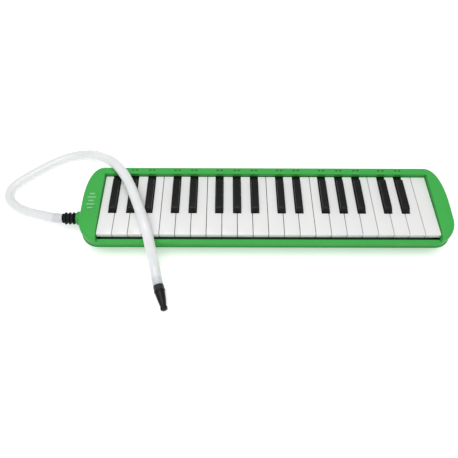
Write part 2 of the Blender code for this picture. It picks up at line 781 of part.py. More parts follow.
def make_rest_felt(finish):
    """Felt strip on the duct that stops the keys at the bottom of their travel."""
    span = (-FELT_HALF, FELT_HALF)
    return box("key_rest_felt", span, FELT_DEPTH, (DUCT_TOP + GAP, FELT_TOP), finish)


# ---------------------------------------------------------------- blowing parts
def make_port(finish):
    """Blow port: tube through the bass end of the case to the chamber, with a stop flange."""
    length = PORT_TAIL - PORT_END
    profile = [
        (0.0, PORT_BORE),
        (0.0, PORT_RADIUS - PORT_CHAMFER),
        (PORT_CHAMFER, PORT_RADIUS),
        (FLANGE[0], PORT_RADIUS),
        (FLANGE[0], FLANGE_RADIUS),
        (FLANGE[1], FLANGE_RADIUS),
        (FLANGE[1], PORT_TUBE),
        (length, PORT_TUBE),
        (length, PORT_BORE),
    ]
    return turned("blow_port", profile, (PORT_END, AXIS_Y, AXIS_Z), (1, 0, 0), 24, finish, True)


def make_connector(finish):
    """Ribbed hose connector: a spigot in the port and three grip ribs outside it."""
    length = PORT_END - GAP - CONNECTOR_END
    profile = [(0.0, AIR_BORE), (0.0, GROOVE_RADIUS - RIB_SLOPE), (RIB_SLOPE, GROOVE_RADIUS)]
    pitch = (length - 4 * RIB_SLOPE) / RIB_COUNT
    for rib in range(RIB_COUNT):
        foot = 3 * RIB_SLOPE + rib * pitch
        top = foot + RIB_SLOPE
        profile += [(foot, GROOVE_RADIUS), (top, RIB_RADIUS)]
        profile += [(top + RIB_FLAT, RIB_RADIUS), (top + RIB_FLAT + RIB_SLOPE, GROOVE_RADIUS)]
    end = length + SPIGOT_LENGTH
    profile += [(length, GROOVE_RADIUS), (length, SPIGOT_RADIUS)]
    profile += [(end - RIB_SLOPE, SPIGOT_RADIUS), (end, SPIGOT_RADIUS - RIB_SLOPE), (end, AIR_BORE)]
    start = (CONNECTOR_END, AXIS_Y, AXIS_Z)
    return turned("hose_connector", profile, start, (1, 0, 0), 20, finish, True)


def smooth_route(points, samples):
    """Read a centripetal Catmull-Rom curve through the points at even steps along it."""
    places = [Vector(p) for p in points]
    first = places[0] * 2 - places[1]
    last = places[-1] * 2 - places[-2]
    places = [first] + places + [last]
    dense = []
    for i in range(1, len(places) - 2):
        p0, p1, p2, p3 = places[i - 1:i + 3]
        t0 = 0.0
        t1 = t0 + math.sqrt((p1 - p0).length)
        t2 = t1 + math.sqrt((p2 - p1).length)
        t3 = t2 + math.sqrt((p3 - p2).length)
        for step in range(16):
            t = t1 + (t2 - t1) * step / 16
            a1 = p0 * ((t1 - t) / (t1 - t0)) + p1 * ((t - t0) / (t1 - t0))
            a2 = p1 * ((t2 - t) / (t2 - t1)) + p2 * ((t - t1) / (t2 - t1))
            a3 = p2 * ((t3 - t) / (t3 - t2)) + p3 * ((t - t2) / (t3 - t2))
            b1 = a1 * ((t2 - t) / (t2 - t0)) + a2 * ((t - t0) / (t2 - t0))
            b2 = a2 * ((t3 - t) / (t3 - t1)) + a3 * ((t - t1) / (t3 - t1))
            dense.append(b1 * ((t2 - t) / (t2 - t1)) + b2 * ((t - t1) / (t2 - t1)))
    dense.append(places[-2])
    total = sum((b - a).length for a, b in zip(dense, dense[1:]))
    result = [dense[0]]
    travelled = 0.0
    for a, b in zip(dense, dense[1:]):
        span = (b - a).length
        while len(result) < samples - 1 and travelled + span >= total * len(result) / (samples - 1):
            result.append(a.lerp(b, (total * len(result) / (samples - 1) - travelled) / span))
        travelled += span
    result.append(dense[-1])
    return result


def make_hose(finish):
    """Flexible blow hose, loose over the keys and on the table."""
    curve = bpy.data.curves.new("hose", "CURVE")
    curve.dimensions = "3D"
    points = smooth_route(HOSE_ROUTE, HOSE_SAMPLES)
    spline = curve.splines.new("POLY")
    spline.points.add(len(points) - 1)
    for slot, point in zip(spline.points, points):
        slot.co = (*point, 1.0)
    curve.bevel_depth = HOSE_RADIUS
    curve.bevel_resolution = 3
    curve.render_resolution_u = 0
    curve.use_fill_caps = True
    curve.materials.append(finish)
    hose = bpy.data.objects.new("hose", curve)
    bpy.context.collection.objects.link(hose)
    return hose


def make_mouthpiece(finish):
    """Black mouthpiece: collar with a ring, a taper and a lip round the end."""
    along = Vector(MOUTH_END) - Vector(MOUTH_START)
    length = along.length
    profile = [
        (0.0, MOUTH_BORE),
        (0.0, COLLAR_RADIUS - MOUTH_STEP),
        (MOUTH_STEP, COLLAR_RADIUS),
        (COLLAR_LENGTH, COLLAR_RADIUS),
        (COLLAR_LENGTH + MOUTH_STEP, RING_RADIUS),
        (COLLAR_LENGTH + 3 * MOUTH_STEP, RING_RADIUS),
        (COLLAR_LENGTH + 4 * MOUTH_STEP, COLLAR_RADIUS),
        (length - TIP_LENGTH, TIP_RADIUS),
        (length - TIP_LENGTH + 2 * MOUTH_STEP, TIP_LIP),
        (length - MOUTH_STEP, TIP_LIP),
        (length, TIP_RADIUS),
        (length, MOUTH_BORE),
    ]
    return turned("mouthpiece", profile, MOUTH_START, along, 18, finish, True)


# ---------------------------------------------------------------- drain valve and fasteners
def make_drain_button(finish):
    """Push button on the treble end, with the stem that opens the drain seal."""
    profile = [
        (0.0, BUTTON_RADIUS - BUTTON_CHAMFER),
        (BUTTON_CHAMFER, BUTTON_RADIUS),
        (BUTTON_HEAD, BUTTON_RADIUS),
        (BUTTON_HEAD, STEM_RADIUS),
        (BUTTON_OUT - STEM_END, STEM_RADIUS),
    ]
    start = (BUTTON_OUT, AXIS_Y, AXIS_Z)
    return turned("drain_button", profile, start, (-1, 0, 0), 18, finish, False)


def make_drain_seal(finish):
    """Rubber washer on the stem, against the inside of the chamber's end wall."""
    inner = STEM_RADIUS + GAP
    face = CHAMBER_HALF - CHAMBER_WALL - GAP
    profile = [(0.0, inner), (0.0, SEAL_RADIUS), (SEAL_THICK, SEAL_RADIUS), (SEAL_THICK, inner)]
    return turned("drain_seal", profile, (face, AXIS_Y, AXIS_Z), (-1, 0, 0), 16, finish, True)


def make_drain_spring(finish):
    """Coil spring round the stem, from the chamber's end wall to the button."""
    low = CHAMBER_HALF + GAP + SPRING_WIRE
    high = BUTTON_OUT - BUTTON_HEAD - GAP - SPRING_WIRE
    steps = SPRING_TURNS * 10
    curve = bpy.data.curves.new("drain_spring", "CURVE")
    curve.dimensions = "3D"
    spline = curve.splines.new("POLY")
    spline.points.add(steps)
    for step in range(steps + 1):
        angle = 2 * math.pi * SPRING_TURNS * step / steps
        y = AXIS_Y + SPRING_RADIUS * math.cos(angle)
        z = AXIS_Z + SPRING_RADIUS * math.sin(angle)
        spline.points[step].co = (low + (high - low) * step / steps, y, z, 1.0)
    curve.bevel_depth = SPRING_WIRE
    curve.bevel_resolution = 1
    curve.render_resolution_u = 0
    curve.use_fill_caps = True
    curve.materials.append(finish)
    spring = bpy.data.objects.new("drain_spring", curve)
    bpy.context.collection.objects.link(spring)
    return spring


def make_screw(name, x, y, seat, length, head, finish):
    """Pan head screw, driven upwards: its head is below the seat."""
    profile = [
        (0.0, SCREW_HEAD - 0.0004),
        (0.0004, SCREW_HEAD),
        (head, SCREW_HEAD),
        (head, SCREW_SHANK),
        (length - 0.001, SCREW_SHANK),
        (length, SCREW_SHANK * 0.5),
    ]
    start = (x, y, seat - head)
    return turned(name, profile, start, (0, 0, 1), 12, finish, False)


def make_screws(finish):
    """Four case screws and two cover screws."""
    for number, (x, y) in enumerate(SCREW_PLACES, 1):
        make_screw("case_screw_%d" % number, x, y, HEAD_SEAT - GAP, *CASE_SCREW, finish)
    for number, x in enumerate(COVER_SCREW_X, 1):
        seat = COVER_BOTTOM + COVER_SEAT - GAP
        make_screw("cover_screw_%d" % number, x, COVER_SCREW_Y, seat, *COVER_SCREW, finish)


# ---------------------------------------------------------------- assembly
def build():
    """Make the whole melodica."""
    for obj in list(bpy.data.objects):
        bpy.data.objects.remove(obj)
    green = material("case_green", GREEN, 0.35)
    ivory = material("key_white", WHITE, 0.30)
    ebony = material("key_black", BLACK, 0.38)
    grey = material("chamber_grey", (0.35, 0.36, 0.36), 0.55)
    brass = material("brass", (0.72, 0.52, 0.22), 0.30, 1.0)
    steel = material("steel", (0.60, 0.60, 0.60), 0.28, 1.0)
    felt = material("felt", (0.45, 0.05, 0.05), 0.95)
    rubber = material("rubber_black", (0.02, 0.022, 0.022), 0.55)
    foam = material("foam", (0.10, 0.10, 0.10), 0.90)
    clear = material("hose_milky", (0.80, 0.81, 0.82), 0.35)

    make_top_case(green)
    make_bottom_case(green)
    make_keys(ivory, ebony)
    make_chamber(grey)
    make_cover(grey)
    make_gasket(foam)
    inner, outer = PLATE_SPAN
    make_reed_plate("reed_plate_bass", -outer, -inner, brass)
    make_reed_plate("reed_plate_treble", inner, outer, brass)
    make_rod(steel)
    make_spring_comb(steel)
    make_rest_felt(felt)
    make_port(green)
    make_connector(rubber)
    make_hose(clear)
    make_mouthpiece(rubber)
    make_drain_button(rubber)
    make_drain_seal(foam)
    make_drain_spring(steel)
    make_screws(steel)


build()
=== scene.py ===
"""Looks of the 37-key melodica: case, keys, blow hose, inner parts, floor, light and camera.

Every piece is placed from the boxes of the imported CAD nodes, in metres, in the same frame:
+X towards the treble end, +Y towards the back, +Z up.
"""

import json
import math

import bmesh
import bpy
from mathutils import Matrix, Vector


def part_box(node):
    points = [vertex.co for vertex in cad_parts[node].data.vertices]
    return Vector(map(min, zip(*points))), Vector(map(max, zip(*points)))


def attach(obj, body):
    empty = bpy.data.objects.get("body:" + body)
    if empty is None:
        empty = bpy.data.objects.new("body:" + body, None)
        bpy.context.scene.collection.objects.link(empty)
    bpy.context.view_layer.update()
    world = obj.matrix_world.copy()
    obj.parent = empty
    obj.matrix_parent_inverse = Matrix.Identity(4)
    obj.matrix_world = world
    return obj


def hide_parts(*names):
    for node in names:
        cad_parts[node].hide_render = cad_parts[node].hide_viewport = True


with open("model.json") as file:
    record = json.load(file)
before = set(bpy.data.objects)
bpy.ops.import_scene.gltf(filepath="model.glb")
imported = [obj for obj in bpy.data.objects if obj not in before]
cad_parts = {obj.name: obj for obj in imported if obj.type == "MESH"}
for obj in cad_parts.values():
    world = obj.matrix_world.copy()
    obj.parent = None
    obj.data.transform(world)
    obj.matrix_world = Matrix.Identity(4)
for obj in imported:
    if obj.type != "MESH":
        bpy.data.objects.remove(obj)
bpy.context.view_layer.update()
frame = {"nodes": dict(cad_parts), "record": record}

# ---------------- places read from the frame
CASE_LOW, CASE_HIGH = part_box("top_case")
TUB_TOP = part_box("bottom_case")[1].z
CASE_HALF = CASE_HIGH.x
BASS_EXTRA = -CASE_LOW.x - CASE_HIGH.x
CASE_TOP = CASE_HIGH.z
SEAM_Z = CASE_LOW.z
KEY_NAMES = [n for names in frame["record"]["behaviour"]["bodies"].values() for n in names
             if n.startswith("key_") and n != "key_rest_felt"]
BLACK_NAMES = [n for n in KEY_NAMES if n[5] == "s"]
WHITE_NAMES = [n for n in KEY_NAMES if n[5] != "s"]
KEY_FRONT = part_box(WHITE_NAMES[0])[0].y
KEY_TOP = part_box(WHITE_NAMES[0])[1].z
ROD_LOW, ROD_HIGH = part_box("pivot_rod")
PIVOT = (ROD_LOW + ROD_HIGH) / 2
ROD_RADIUS = (ROD_HIGH.z - ROD_LOW.z) / 2
DECK_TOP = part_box("spring_comb")[0].z - 0.0003

# ---------------- sizes of the case
CASE_FALL = 0.0045  # fall of the end blocks' top towards the front
FALL_START = 0.010
FALL_POWER = 1.6
WALL = 0.0024
BACK_CORNER = (0.021, 0.052)  # semi-axes of the plan corners
FRONT_CORNER = (0.0225, 0.027)
BACK_POWER = 2.5
CORNER_STEPS = 22
ROUND_STEPS = 8
EDGE_ROUND = (0.0022, 0.0038, 0.0070)  # radius of the top edge at the back, the side and the front
LEAST_ROUND = 0.0006
WINDOW_ROUND = 0.0019  # rounding of the window's top edges
CASE_EDGE = 0.0007  # rounding of the other edges
WINDOW_HALF = 0.1950
LIP_TOP = 0.031
LIP_BACK = -0.0455
LIP_THICK = 0.0022
STRIP_FRONT = 0.03935
STRIP_WALL = 0.0022
STRIP_FOOT = 0.0385
RIB_FOOT = 0.031
RIB_THICK = 0.0020
BASE_HALF = 0.2076
BASE_BACK = 0.047
BASE_FRONT = -0.0385
BASE_CORNER = (0.015, 0.030)
BASE_EDGE = 0.0015
FLOOR_THICK = 0.0025
TUB_INSET = 0.0002
PANEL_INSET = 0.009  # the sunk panel in the base
PANEL_DEPTH = 0.0007
COLUMN_RADIUS = 0.0042  # the screw columns in the tub
COLUMN_FOOT = 0.001
COLUMN_HEIGHT = 0.0212
BELOW_BASE = -0.002  # where cutters in the base start
SEAT_RADIUS = 0.0031  # the holes for the case screws' heads and shanks
SEAT_DEPTH = 0.0080
SHANK_HOLE = 0.0015
SHANK_HOLE_DEPTH = 0.0320
END_HOLE_X = (0.205, 0.23)  # from inside an end wall to outside it
PORT_GAP = 0.0003
BUTTON_GAP = 0.0004
PAST = 0.01  # how far the larger cutters reach past the case
CUT_DEPTH = (-0.06, 0.06)  # the cutters' reach along Y

# ---------------- hose route, as in the CAD source
HOSE_RADIUS = 0.006
HOSE_WALL = 0.0013
HOSE_LENGTH = 0.473
HOSE_SAMPLES = 260
HOSE_EASING = 12  # rounds of softening
HOSE_SIDES = 28
HOSE_CUT = 0.0003  # rounding of the cut ends
HOSE_ROUTE = [
    (-0.2426, -0.0113, 0.0210),
    (-0.2495, -0.0113, 0.0210),
    (-0.2631, -0.0076, 0.0196),
    (-0.2789, -0.0021, 0.0162),
    (-0.2958, 0.0054, 0.0118),
    (-0.3114, 0.0151, 0.0082),
    (-0.3215, 0.0254, 0.0065),
    (-0.3251, 0.0379, 0.0062),
    (-0.3200, 0.0494, 0.0062),
    (-0.3061, 0.0637, 0.0062),
    (-0.2906, 0.0769, 0.0062),
    (-0.2769, 0.0873, 0.0062),
    (-0.2634, 0.0944, 0.0067),
    (-0.2485, 0.0974, 0.0090),
    (-0.2323, 0.0944, 0.0145),
    (-0.2156, 0.0843, 0.0240),
    (-0.1999, 0.0690, 0.0366),
    (-0.1869, 0.0541, 0.0470),
    (-0.1776, 0.0434, 0.0505),
    (-0.1672, 0.0284, 0.0510),
    (-0.1605, 0.0158, 0.0510),
    (-0.1536, 0.0007, 0.0511),
    (-0.1471, -0.0149, 0.0510),
    (-0.1401, -0.0330, 0.0506),
    (-0.1369, -0.0415, 0.0490),
    (-0.1343, -0.0490, 0.0446),
    (-0.1332, -0.0546, 0.0380),
    (-0.1326, -0.0578, 0.0306),
    (-0.1321, -0.0606, 0.0226),
    (-0.1311, -0.0652, 0.0152),
    (-0.1291, -0.0724, 0.0102),
    (-0.1273, -0.0822, 0.0082),
    (-0.1258, -0.0868, 0.0078),
    (-0.1244, -0.0914, 0.0073),
]
MOUTH_START = Vector((-0.1243, -0.0918, 0.0073))
MOUTH_END = Vector((-0.1155, -0.1200, 0.0046))

# ---------------- fittings on the hose and the port
NIPPLE = 0.0045  # radius of the nipples inside the hose
NIPPLE_TIP = 0.0040
NIPPLE_LEAD = 0.001  # length of a nipple's lead-in
CONNECTOR_NIPPLE = 0.0095  # length of the nipple
CONNECTOR_BORE = 0.0032
CONNECTOR_GROOVE = 0.0049  # radius between the ribs
CONNECTOR_RIBS = 3
CONNECTOR_SHOULDER = 0.0066
CONNECTOR_SPIGOT = 0.00525  # radius of the part inside the port
MOUTH_NIPPLE = 0.0105
MOUTH_BORE = 0.0019
MOUTH_COLLAR = 0.0058  # length of the lighter collar
MOUTH_TAPER = (0.0057, 0.0034)  # radius at the taper's two ends
MOUTH_TAPER_START = 0.0088
MOUTH_TAPER_STEPS = 10
MOUTH_BULGE = 0.00025  # fullness of the taper's middle
LIP_RADIUS = 0.0006  # height of the bite lip
LIP_STEPS = 8
PORT_OUTER = 0.0082
PORT_BORE = 0.0056
PORT_NECK = 0.0070  # radius behind the flange
PORT_FLANGE = 0.0096
PORT_FLANGE_X = (0.0147, 0.0162)  # the flange's faces, from the port's mouth


# ---------------- camera
CAMERA_PLACE = (-0.04774, -0.28798, 0.44907)
CAMERA_DOWN = 58.4955  # degrees below level
CAMERA_YAW = 0.6359
CAMERA_ROLL = 0.6924
CAMERA_LENS = 33.51  # millimetres
CAMERA_SENSOR = 36.0


def make_camera():
    """Camera a little to the left of the middle, looking down at the keys."""
    down = math.radians(CAMERA_DOWN)
    yaw = math.radians(CAMERA_YAW)
    roll = math.radians(CAMERA_ROLL)
    forward = Vector((math.sin(yaw) * math.cos(down), math.cos(yaw) * math.cos(down), -math.sin(down)))
    right = Vector((math.cos(yaw), -math.sin(yaw), 0.0))
    up = right.cross(forward)
    across = right * math.cos(roll) + up * math.sin(roll)
    upward = up * math.cos(roll) - right * math.sin(roll)
    data = bpy.data.cameras.new("camera")
    data.sensor_width = CAMERA_SENSOR
    data.lens = CAMERA_LENS
    data.clip_start = 0.01
    camera = bpy.data.objects.new("camera", data)
    bpy.context.scene.collection.objects.link(camera)
    turn = Matrix((across, upward, -forward)).transposed().to_4x4()
    camera.matrix_world = Matrix.Translation(CAMERA_PLACE) @ turn
    bpy.context.scene.camera = camera


# ---------------- material helpers
class Nodes:
    """Short way to build one Principled material from nodes."""

    def __init__(self, name):
        self.material = bpy.data.materials.new(name)
        self.material.use_nodes = True
        self.tree = self.material.node_tree
        self.shader = self.tree.nodes["Principled BSDF"]
        self.place = self.add("ShaderNodeTexCoord").outputs["Object"]

    def add(self, kind, inputs=None, **settings):
        """New node with its settings and its inputs, which are values or other nodes' outputs."""
        node = self.tree.nodes.new(kind)
        for key, value in settings.items():
            setattr(node, key, value)
        for key, value in (inputs or {}).items():
            if isinstance(value, bpy.types.NodeSocket):
                self.tree.links.new(value, node.inputs[key])
            else:
                node.inputs[key].default_value = value
        return node

    def stretched(self, scale):
        """Object coordinates scaled along each axis."""
        return self.add("ShaderNodeMapping", {"Vector": self.place, "Scale": scale}).outputs["Vector"]

    def noise(self, scale, detail=3.0, vector=None):
        """Noise from 0 to 1; scale is in cycles per metre."""
        inputs = {"Vector": vector or self.place, "Scale": scale, "Detail": detail}
        return self.add("ShaderNodeTexNoise", inputs).outputs["Fac"]

    def span(self, value, low, high, new_low, new_high, smooth=False):
        """Map a value's range low to high onto a new range, clamped."""
        inputs = {"Value": value, "From Min": low, "From Max": high, "To Min": new_low, "To Max": new_high}
        kind = "SMOOTHSTEP" if smooth else "LINEAR"
        return self.add("ShaderNodeMapRange", inputs, interpolation_type=kind).outputs["Result"]

    def maths(self, operation, first, second=0.0):
        """One step of arithmetic."""
        return self.add("ShaderNodeMath", {0: first, 1: second}, operation=operation).outputs["Value"]

    def mix(self, share, first, second):
        """Mix of two colours."""
        node = self.add("ShaderNodeMix", data_type="RGBA")
        for key, value in ((0, share), (6, first), (7, second)):
            if isinstance(value, bpy.types.NodeSocket):
                self.tree.links.new(value, node.inputs[key])
            else:
                node.inputs[key].default_value = value if key == 0 else (*value, 1.0)
        return node.outputs[2]

    def bump(self, height, distance, strength=1.0, normal=None):
        """Bump from a height from 0 to 1; distance is the height of 1 in metres."""
        inputs = {"Height": height, "Distance": distance, "Strength": strength}
        if normal:
            inputs["Normal"] = normal
        return self.add("ShaderNodeBump", inputs).outputs["Normal"]

    def finish(self, colour, roughness, normal=None, **constants):
        """Link the textures to the shader, and set its constants on their own sockets."""
        links = {"Base Color": colour, "Roughness": roughness, "Normal": normal}
        for key, value in links.items():
            if isinstance(value, bpy.types.NodeSocket):
                self.tree.links.new(value, self.shader.inputs[key])
            elif value is not None:
                self.shader.inputs[key].default_value = (*value, 1.0) if key == "Base Color" else value
        for key, value in constants.items():
            self.shader.inputs[key.replace("_", " ")].default_value = value
        return self.material


CLOUD_SHARE = 0.35  # how far the clouds and the specks pull a moulding's colour
SPECK_SHARE = 0.18


def moulded(name, colour, deep, rough, grain, relief, foot=None, **constants):
    """Moulded plastic: colour drift, fine grain in the bump, and uneven polish.

    A foot is (colour, low z, high z): painted shade that darkens the piece towards its lower part.
    """
    n = Nodes(name)
    clouds = n.span(n.noise(28.0, 3.0), 0.32, 0.68, 0.0, 1.0, True)
    specks = n.span(n.noise(900.0, 2.0), 0.35, 0.75, 0.0, 1.0)
    drift = n.maths("MULTIPLY", clouds, CLOUD_SHARE)
    drift = n.maths("ADD", drift, n.maths("MULTIPLY", specks, SPECK_SHARE))
    tint = n.mix(drift, colour, deep)
    if foot:
        # painted shade: the colour darkens towards low z, standing in for the shade on the lower and front
        # faces
        height = n.add("ShaderNodeSeparateXYZ", {"Vector": n.place}).outputs["Z"]
        shade_of, low, high = foot
        tint = n.mix(n.span(height, low, high, 0.5, 0.0, True), tint, shade_of)
    polish = n.span(n.noise(60.0, 5.0), 0.30, 0.70, rough[0], rough[1], True)
    fine = n.bump(n.noise(grain, 2.0), relief)
    ripple = n.bump(n.noise(22.0, 1.0), 0.00025, 0.35, fine)
    return n.finish(tint, polish, ripple, **constants)


def make_case_green():
    """Satin green ABS with a spark-eroded grain, and painted shade towards its lower part."""
    colour = (0.062, 0.445, 0.084)
    deep = (0.050, 0.405, 0.072)
    # painted shade: deeper green below z 0.034 stands in for the shade on the front face and the lower case
    foot = ((0.034, 0.270, 0.052), 0.024, 0.034)
    return moulded("case_green", colour, deep, (0.40, 0.52), 2600.0, 0.00003, foot, Specular_IOR_Level=0.14)


def make_green_print(name, colour):
    """Printed ink on the green case."""
    n = Nodes(name)
    worn = n.span(n.noise(1500.0, 3.0), 0.40, 0.62, 0.0, 1.0, True)
    tint = n.mix(n.maths("MULTIPLY", worn, 0.35), colour, (0.052, 0.40, 0.082))
    return n.finish(tint, n.span(worn, 0.0, 1.0, 0.42, 0.58), n.bump(worn, 0.00002))


def make_key_white():
    """Polished white ABS: each key a slightly different white, with faint handling haze."""
    n = Nodes("key_white")
    chance = n.add("ShaderNodeObjectInfo").outputs["Random"]
    own = n.mix(chance, (0.870, 0.878, 0.868), (0.890, 0.888, 0.884))
    haze = n.span(n.noise(45.0, 4.0), 0.42, 0.72, 0.0, 1.0, True)
    tint = n.mix(n.maths("MULTIPLY", haze, 0.28), own, (0.845, 0.845, 0.822))
    rubbed = n.noise(1.0, 4.0, n.stretched((700.0, 60.0, 200.0)))
    polish = n.add("ShaderNodeMath", {0: rubbed, 1: 0.16, 2: 0.14}, operation="MULTIPLY_ADD").outputs[0]
    fine = n.bump(n.noise(1800.0, 2.0), 0.000008)
    wave = n.bump(n.noise(40.0, 1.0), 0.00010, 0.4, fine)
    return n.finish(tint, polish, wave, Specular_IOR_Level=0.5, Coat_Weight=0.15, Coat_Roughness=0.08)


def make_key_black():
    """Satin black ABS with a fine grain along the key."""
    n = Nodes("key_black")
    chance = n.add("ShaderNodeObjectInfo").outputs["Random"]
    own = n.mix(chance, (0.009, 0.010, 0.010), (0.012, 0.013, 0.013))
    dust = n.span(n.noise(160.0, 5.0), 0.50, 0.80, 0.0, 0.5, True)
    tint = n.mix(dust, own, (0.022, 0.023, 0.023))
    rubbed = n.noise(1.0, 4.0, n.stretched((1400.0, 90.0, 400.0)))
    polish = n.span(rubbed, 0.25, 0.75, 0.30, 0.48)
    fine = n.bump(n.noise(3200.0, 2.0), 0.00002)
    return n.finish(tint, polish, fine, Specular_IOR_Level=0.18)


def make_hose_vinyl():
    """Milky soft vinyl: denser where it is pushed over a nipple, with faint extrusion rings."""
    n = Nodes("hose_milky")
    along = n.add("ShaderNodeAttribute", attribute_name="along").outputs["Fac"]
    rest = n.maths("SUBTRACT", HOSE_LENGTH, along)
    near = n.maths("MINIMUM", along, rest)
    over = n.span(near, 0.0085, 0.0125, 1.0, 0.0, True)
    grey = n.span(near, 0.0, 0.040, 0.45, 0.0, True)
    ring_place = n.add("ShaderNodeCombineXYZ", {"X": n.maths("MULTIPLY", along, 260.0)})
    rings = n.noise(1.0, 4.0, ring_place.outputs["Vector"])
    clouds = n.noise(55.0, 3.0)
    blend = n.maths("MULTIPLY", n.maths("ADD", rings, clouds), 0.5)
    body = n.mix(n.span(blend, 0.38, 0.62, 0.0, 1.0, True), (0.885, 0.893, 0.903), (0.915, 0.922, 0.930))
    body = n.mix(grey, body, (0.72, 0.72, 0.76))
    tint = n.mix(n.maths("MULTIPLY", over, 0.40), body, (0.50, 0.50, 0.56))
    polish = n.span(n.noise(120.0, 4.0), 0.3, 0.7, 0.26, 0.40)
    band = n.bump(rings, 0.00005, 0.5)
    fine = n.bump(n.noise(1500.0, 2.0), 0.00002, 1.0, band)
    return n.finish(tint, polish, fine, Specular_IOR_Level=0.45, Subsurface_Weight=0.25,
                    Subsurface_Scale=0.004, Subsurface_Radius=(1.0, 0.95, 0.9), Coat_Weight=0.2,
                    Coat_Roughness=0.2)


def make_rubber(name, colour, dusty, rough, collar=None):
    """Matt moulded rubber with a little dust; a collar is (start, direction, length, colour)."""
    n = Nodes(name)
    dust = n.span(n.noise(240.0, 5.0), 0.48, 0.80, 0.0, 0.6, True)
    tint = n.mix(dust, colour, dusty)
    if collar:
        start, heading, length, shade_of = collar
        apart = n.add("ShaderNodeVectorMath", {0: n.place, 1: start}, operation="SUBTRACT")
        apart = apart.outputs["Vector"]
        along = n.add("ShaderNodeVectorMath", {0: apart, 1: heading}, operation="DOT_PRODUCT")
        along = along.outputs["Value"]
        tint = n.mix(n.span(along, length, length + 0.0006, 1.0, 0.0, True), tint, shade_of)
    polish = n.span(n.noise(90.0, 4.0), 0.3, 0.7, rough[0], rough[1])
    pores = n.bump(n.noise(2200.0, 3.0), 0.00005)
    return n.finish(tint, polish, pores, Specular_IOR_Level=0.2)


def make_metal(name, colour, dull, rough, lay):
    """Metal with fine draw marks: lay is the noise scale along each axis."""
    n = Nodes(name)
    marks = n.noise(1.0, 4.0, n.stretched(lay))
    stains = n.span(n.noise(70.0, 4.0), 0.45, 0.75, 0.0, 0.6, True)
    tint = n.mix(stains, colour, dull)
    polish = n.span(marks, 0.25, 0.75, rough[0], rough[1])
    return n.finish(tint, polish, n.bump(marks, 0.00002), Metallic=1.0)


def make_felt():
    """Pressed wool felt: fibres, fluff and a soft sheen."""
    n = Nodes("felt_red")
    fibres = n.noise(1.0, 6.0, n.stretched((900.0, 2600.0, 1800.0)))
    clumps = n.noise(320.0, 4.0)
    height = n.maths("MULTIPLY", n.maths("ADD", fibres, clumps), 0.5)
    tint = n.mix(n.span(height, 0.35, 0.65, 0.0, 1.0), (0.30, 0.022, 0.020), (0.47, 0.060, 0.050))
    return n.finish(tint, n.span(fibres, 0.2, 0.8, 0.82, 1.0), n.bump(height, 0.00035),
                    Sheen_Weight=0.35, Sheen_Roughness=0.5)


def make_foam():
    """Closed-cell foam: small cells in the bump."""
    n = Nodes("gasket_foam")
    cells = n.add("ShaderNodeTexVoronoi", {"Vector": n.place, "Scale": 2400.0}).outputs["Distance"]
    tint = n.mix(n.span(cells, 0.0, 0.7, 0.0, 1.0), (0.030, 0.030, 0.032), (0.085, 0.085, 0.088))
    return n.finish(tint, n.span(cells, 0.0, 0.7, 0.95, 0.75), n.bump(cells, 0.00012))


CASE_GREEN = make_case_green()
KEY_WHITE = make_key_white()
KEY_BLACK = make_key_black()
HOSE_VINYL = make_hose_vinyl()
RUBBER = make_rubber("connector_black", (0.008, 0.010, 0.012), (0.022, 0.024, 0.026), (0.42, 0.62))
MOUTH_ALONG = (MOUTH_END - MOUTH_START).normalized()
MOUTH_BLACK = make_rubber("mouthpiece_black", (0.008, 0.008, 0.009), (0.018, 0.018, 0.020), (0.30, 0.46),
                          (MOUTH_START, MOUTH_ALONG, MOUTH_COLLAR, (0.036, 0.037, 0.042)))
PAD_RUBBER = make_rubber("pad_rubber", (0.40, 0.36, 0.30), (0.52, 0.48, 0.42), (0.60, 0.85))
CHAMBER_GREY = moulded("chamber_grey", (0.34, 0.35, 0.36), (0.27, 0.28, 0.29), (0.45, 0.62), 1900.0,
                       0.00004)
BRASS = make_metal("reed_brass", (0.78, 0.57, 0.24), (0.56, 0.38, 0.16), (0.22, 0.42),
                   (2600.0, 160.0, 900.0))
STEEL = make_metal("steel", (0.62, 0.62, 0.63), (0.46, 0.46, 0.47), (0.20, 0.38),
                   (220.0, 2600.0, 2600.0))
FELT = make_felt()
FOAM = make_foam()
INK_DARK = make_green_print("ink_dark", (0.004, 0.060, 0.012))
INK_LIGHT = make_green_print("ink_light", (0.24, 0.62, 0.27))


# ---------------- mesh helpers
def add_object(name, bm, finish=None):
    """Turn a bmesh into an object."""
    bmesh.ops.recalc_face_normals(bm, faces=bm.faces)
    mesh = bpy.data.meshes.new(name)
    bm.to_mesh(mesh)
    bm.free()
    obj = bpy.data.objects.new(name, mesh)
    bpy.context.scene.collection.objects.link(obj)
    if finish:
        mesh.materials.append(finish)
    return obj


def skin(bm, rows):
    """Add the faces between each closed row of vertices and the next."""
    for low, high in zip(rows, rows[1:]):
        for i in range(len(low)):
            j = (i + 1) % len(low)
            bm.faces.new((low[i], low[j], high[j], high[i]))


def add_body(bm, rings, cap=True):
    """Add a body through rings of points to a bmesh."""
    rows = [[bm.verts.new(p) for p in ring] for ring in rings]
    skin(bm, rows)
    if cap:
        bm.faces.new(rows[0])
        bm.faces.new(rows[-1])


def loft(rings, cap=True):
    """New bmesh of one body through rings of points, with closed ends if capped."""
    bm = bmesh.new()
    add_body(bm, rings, cap)
    return bm


def around(middle, half):
    """Pair of values at half to both sides of the middle."""
    return middle - half, middle + half


def block(name, x, y, z, finish=None):
    """Block between the pairs x, y and z."""
    rings = [[(x[0], y[0], h), (x[1], y[0], h), (x[1], y[1], h), (x[0], y[1], h)] for h in z]
    return add_object(name, loft(rings), finish)


def prism_x(name, outline, x_low, x_high, finish=None):
    """Outline of (y, z) points pushed along X."""
    return add_object(name, loft([[(x, y, z) for y, z in outline] for x in (x_low, x_high)]), finish)


def circle(radius, sides):
    """Points of a circle, as pairs."""
    turn = 2 * math.pi / sides
    return [(radius * math.cos(i * turn), radius * math.sin(i * turn)) for i in range(sides)]


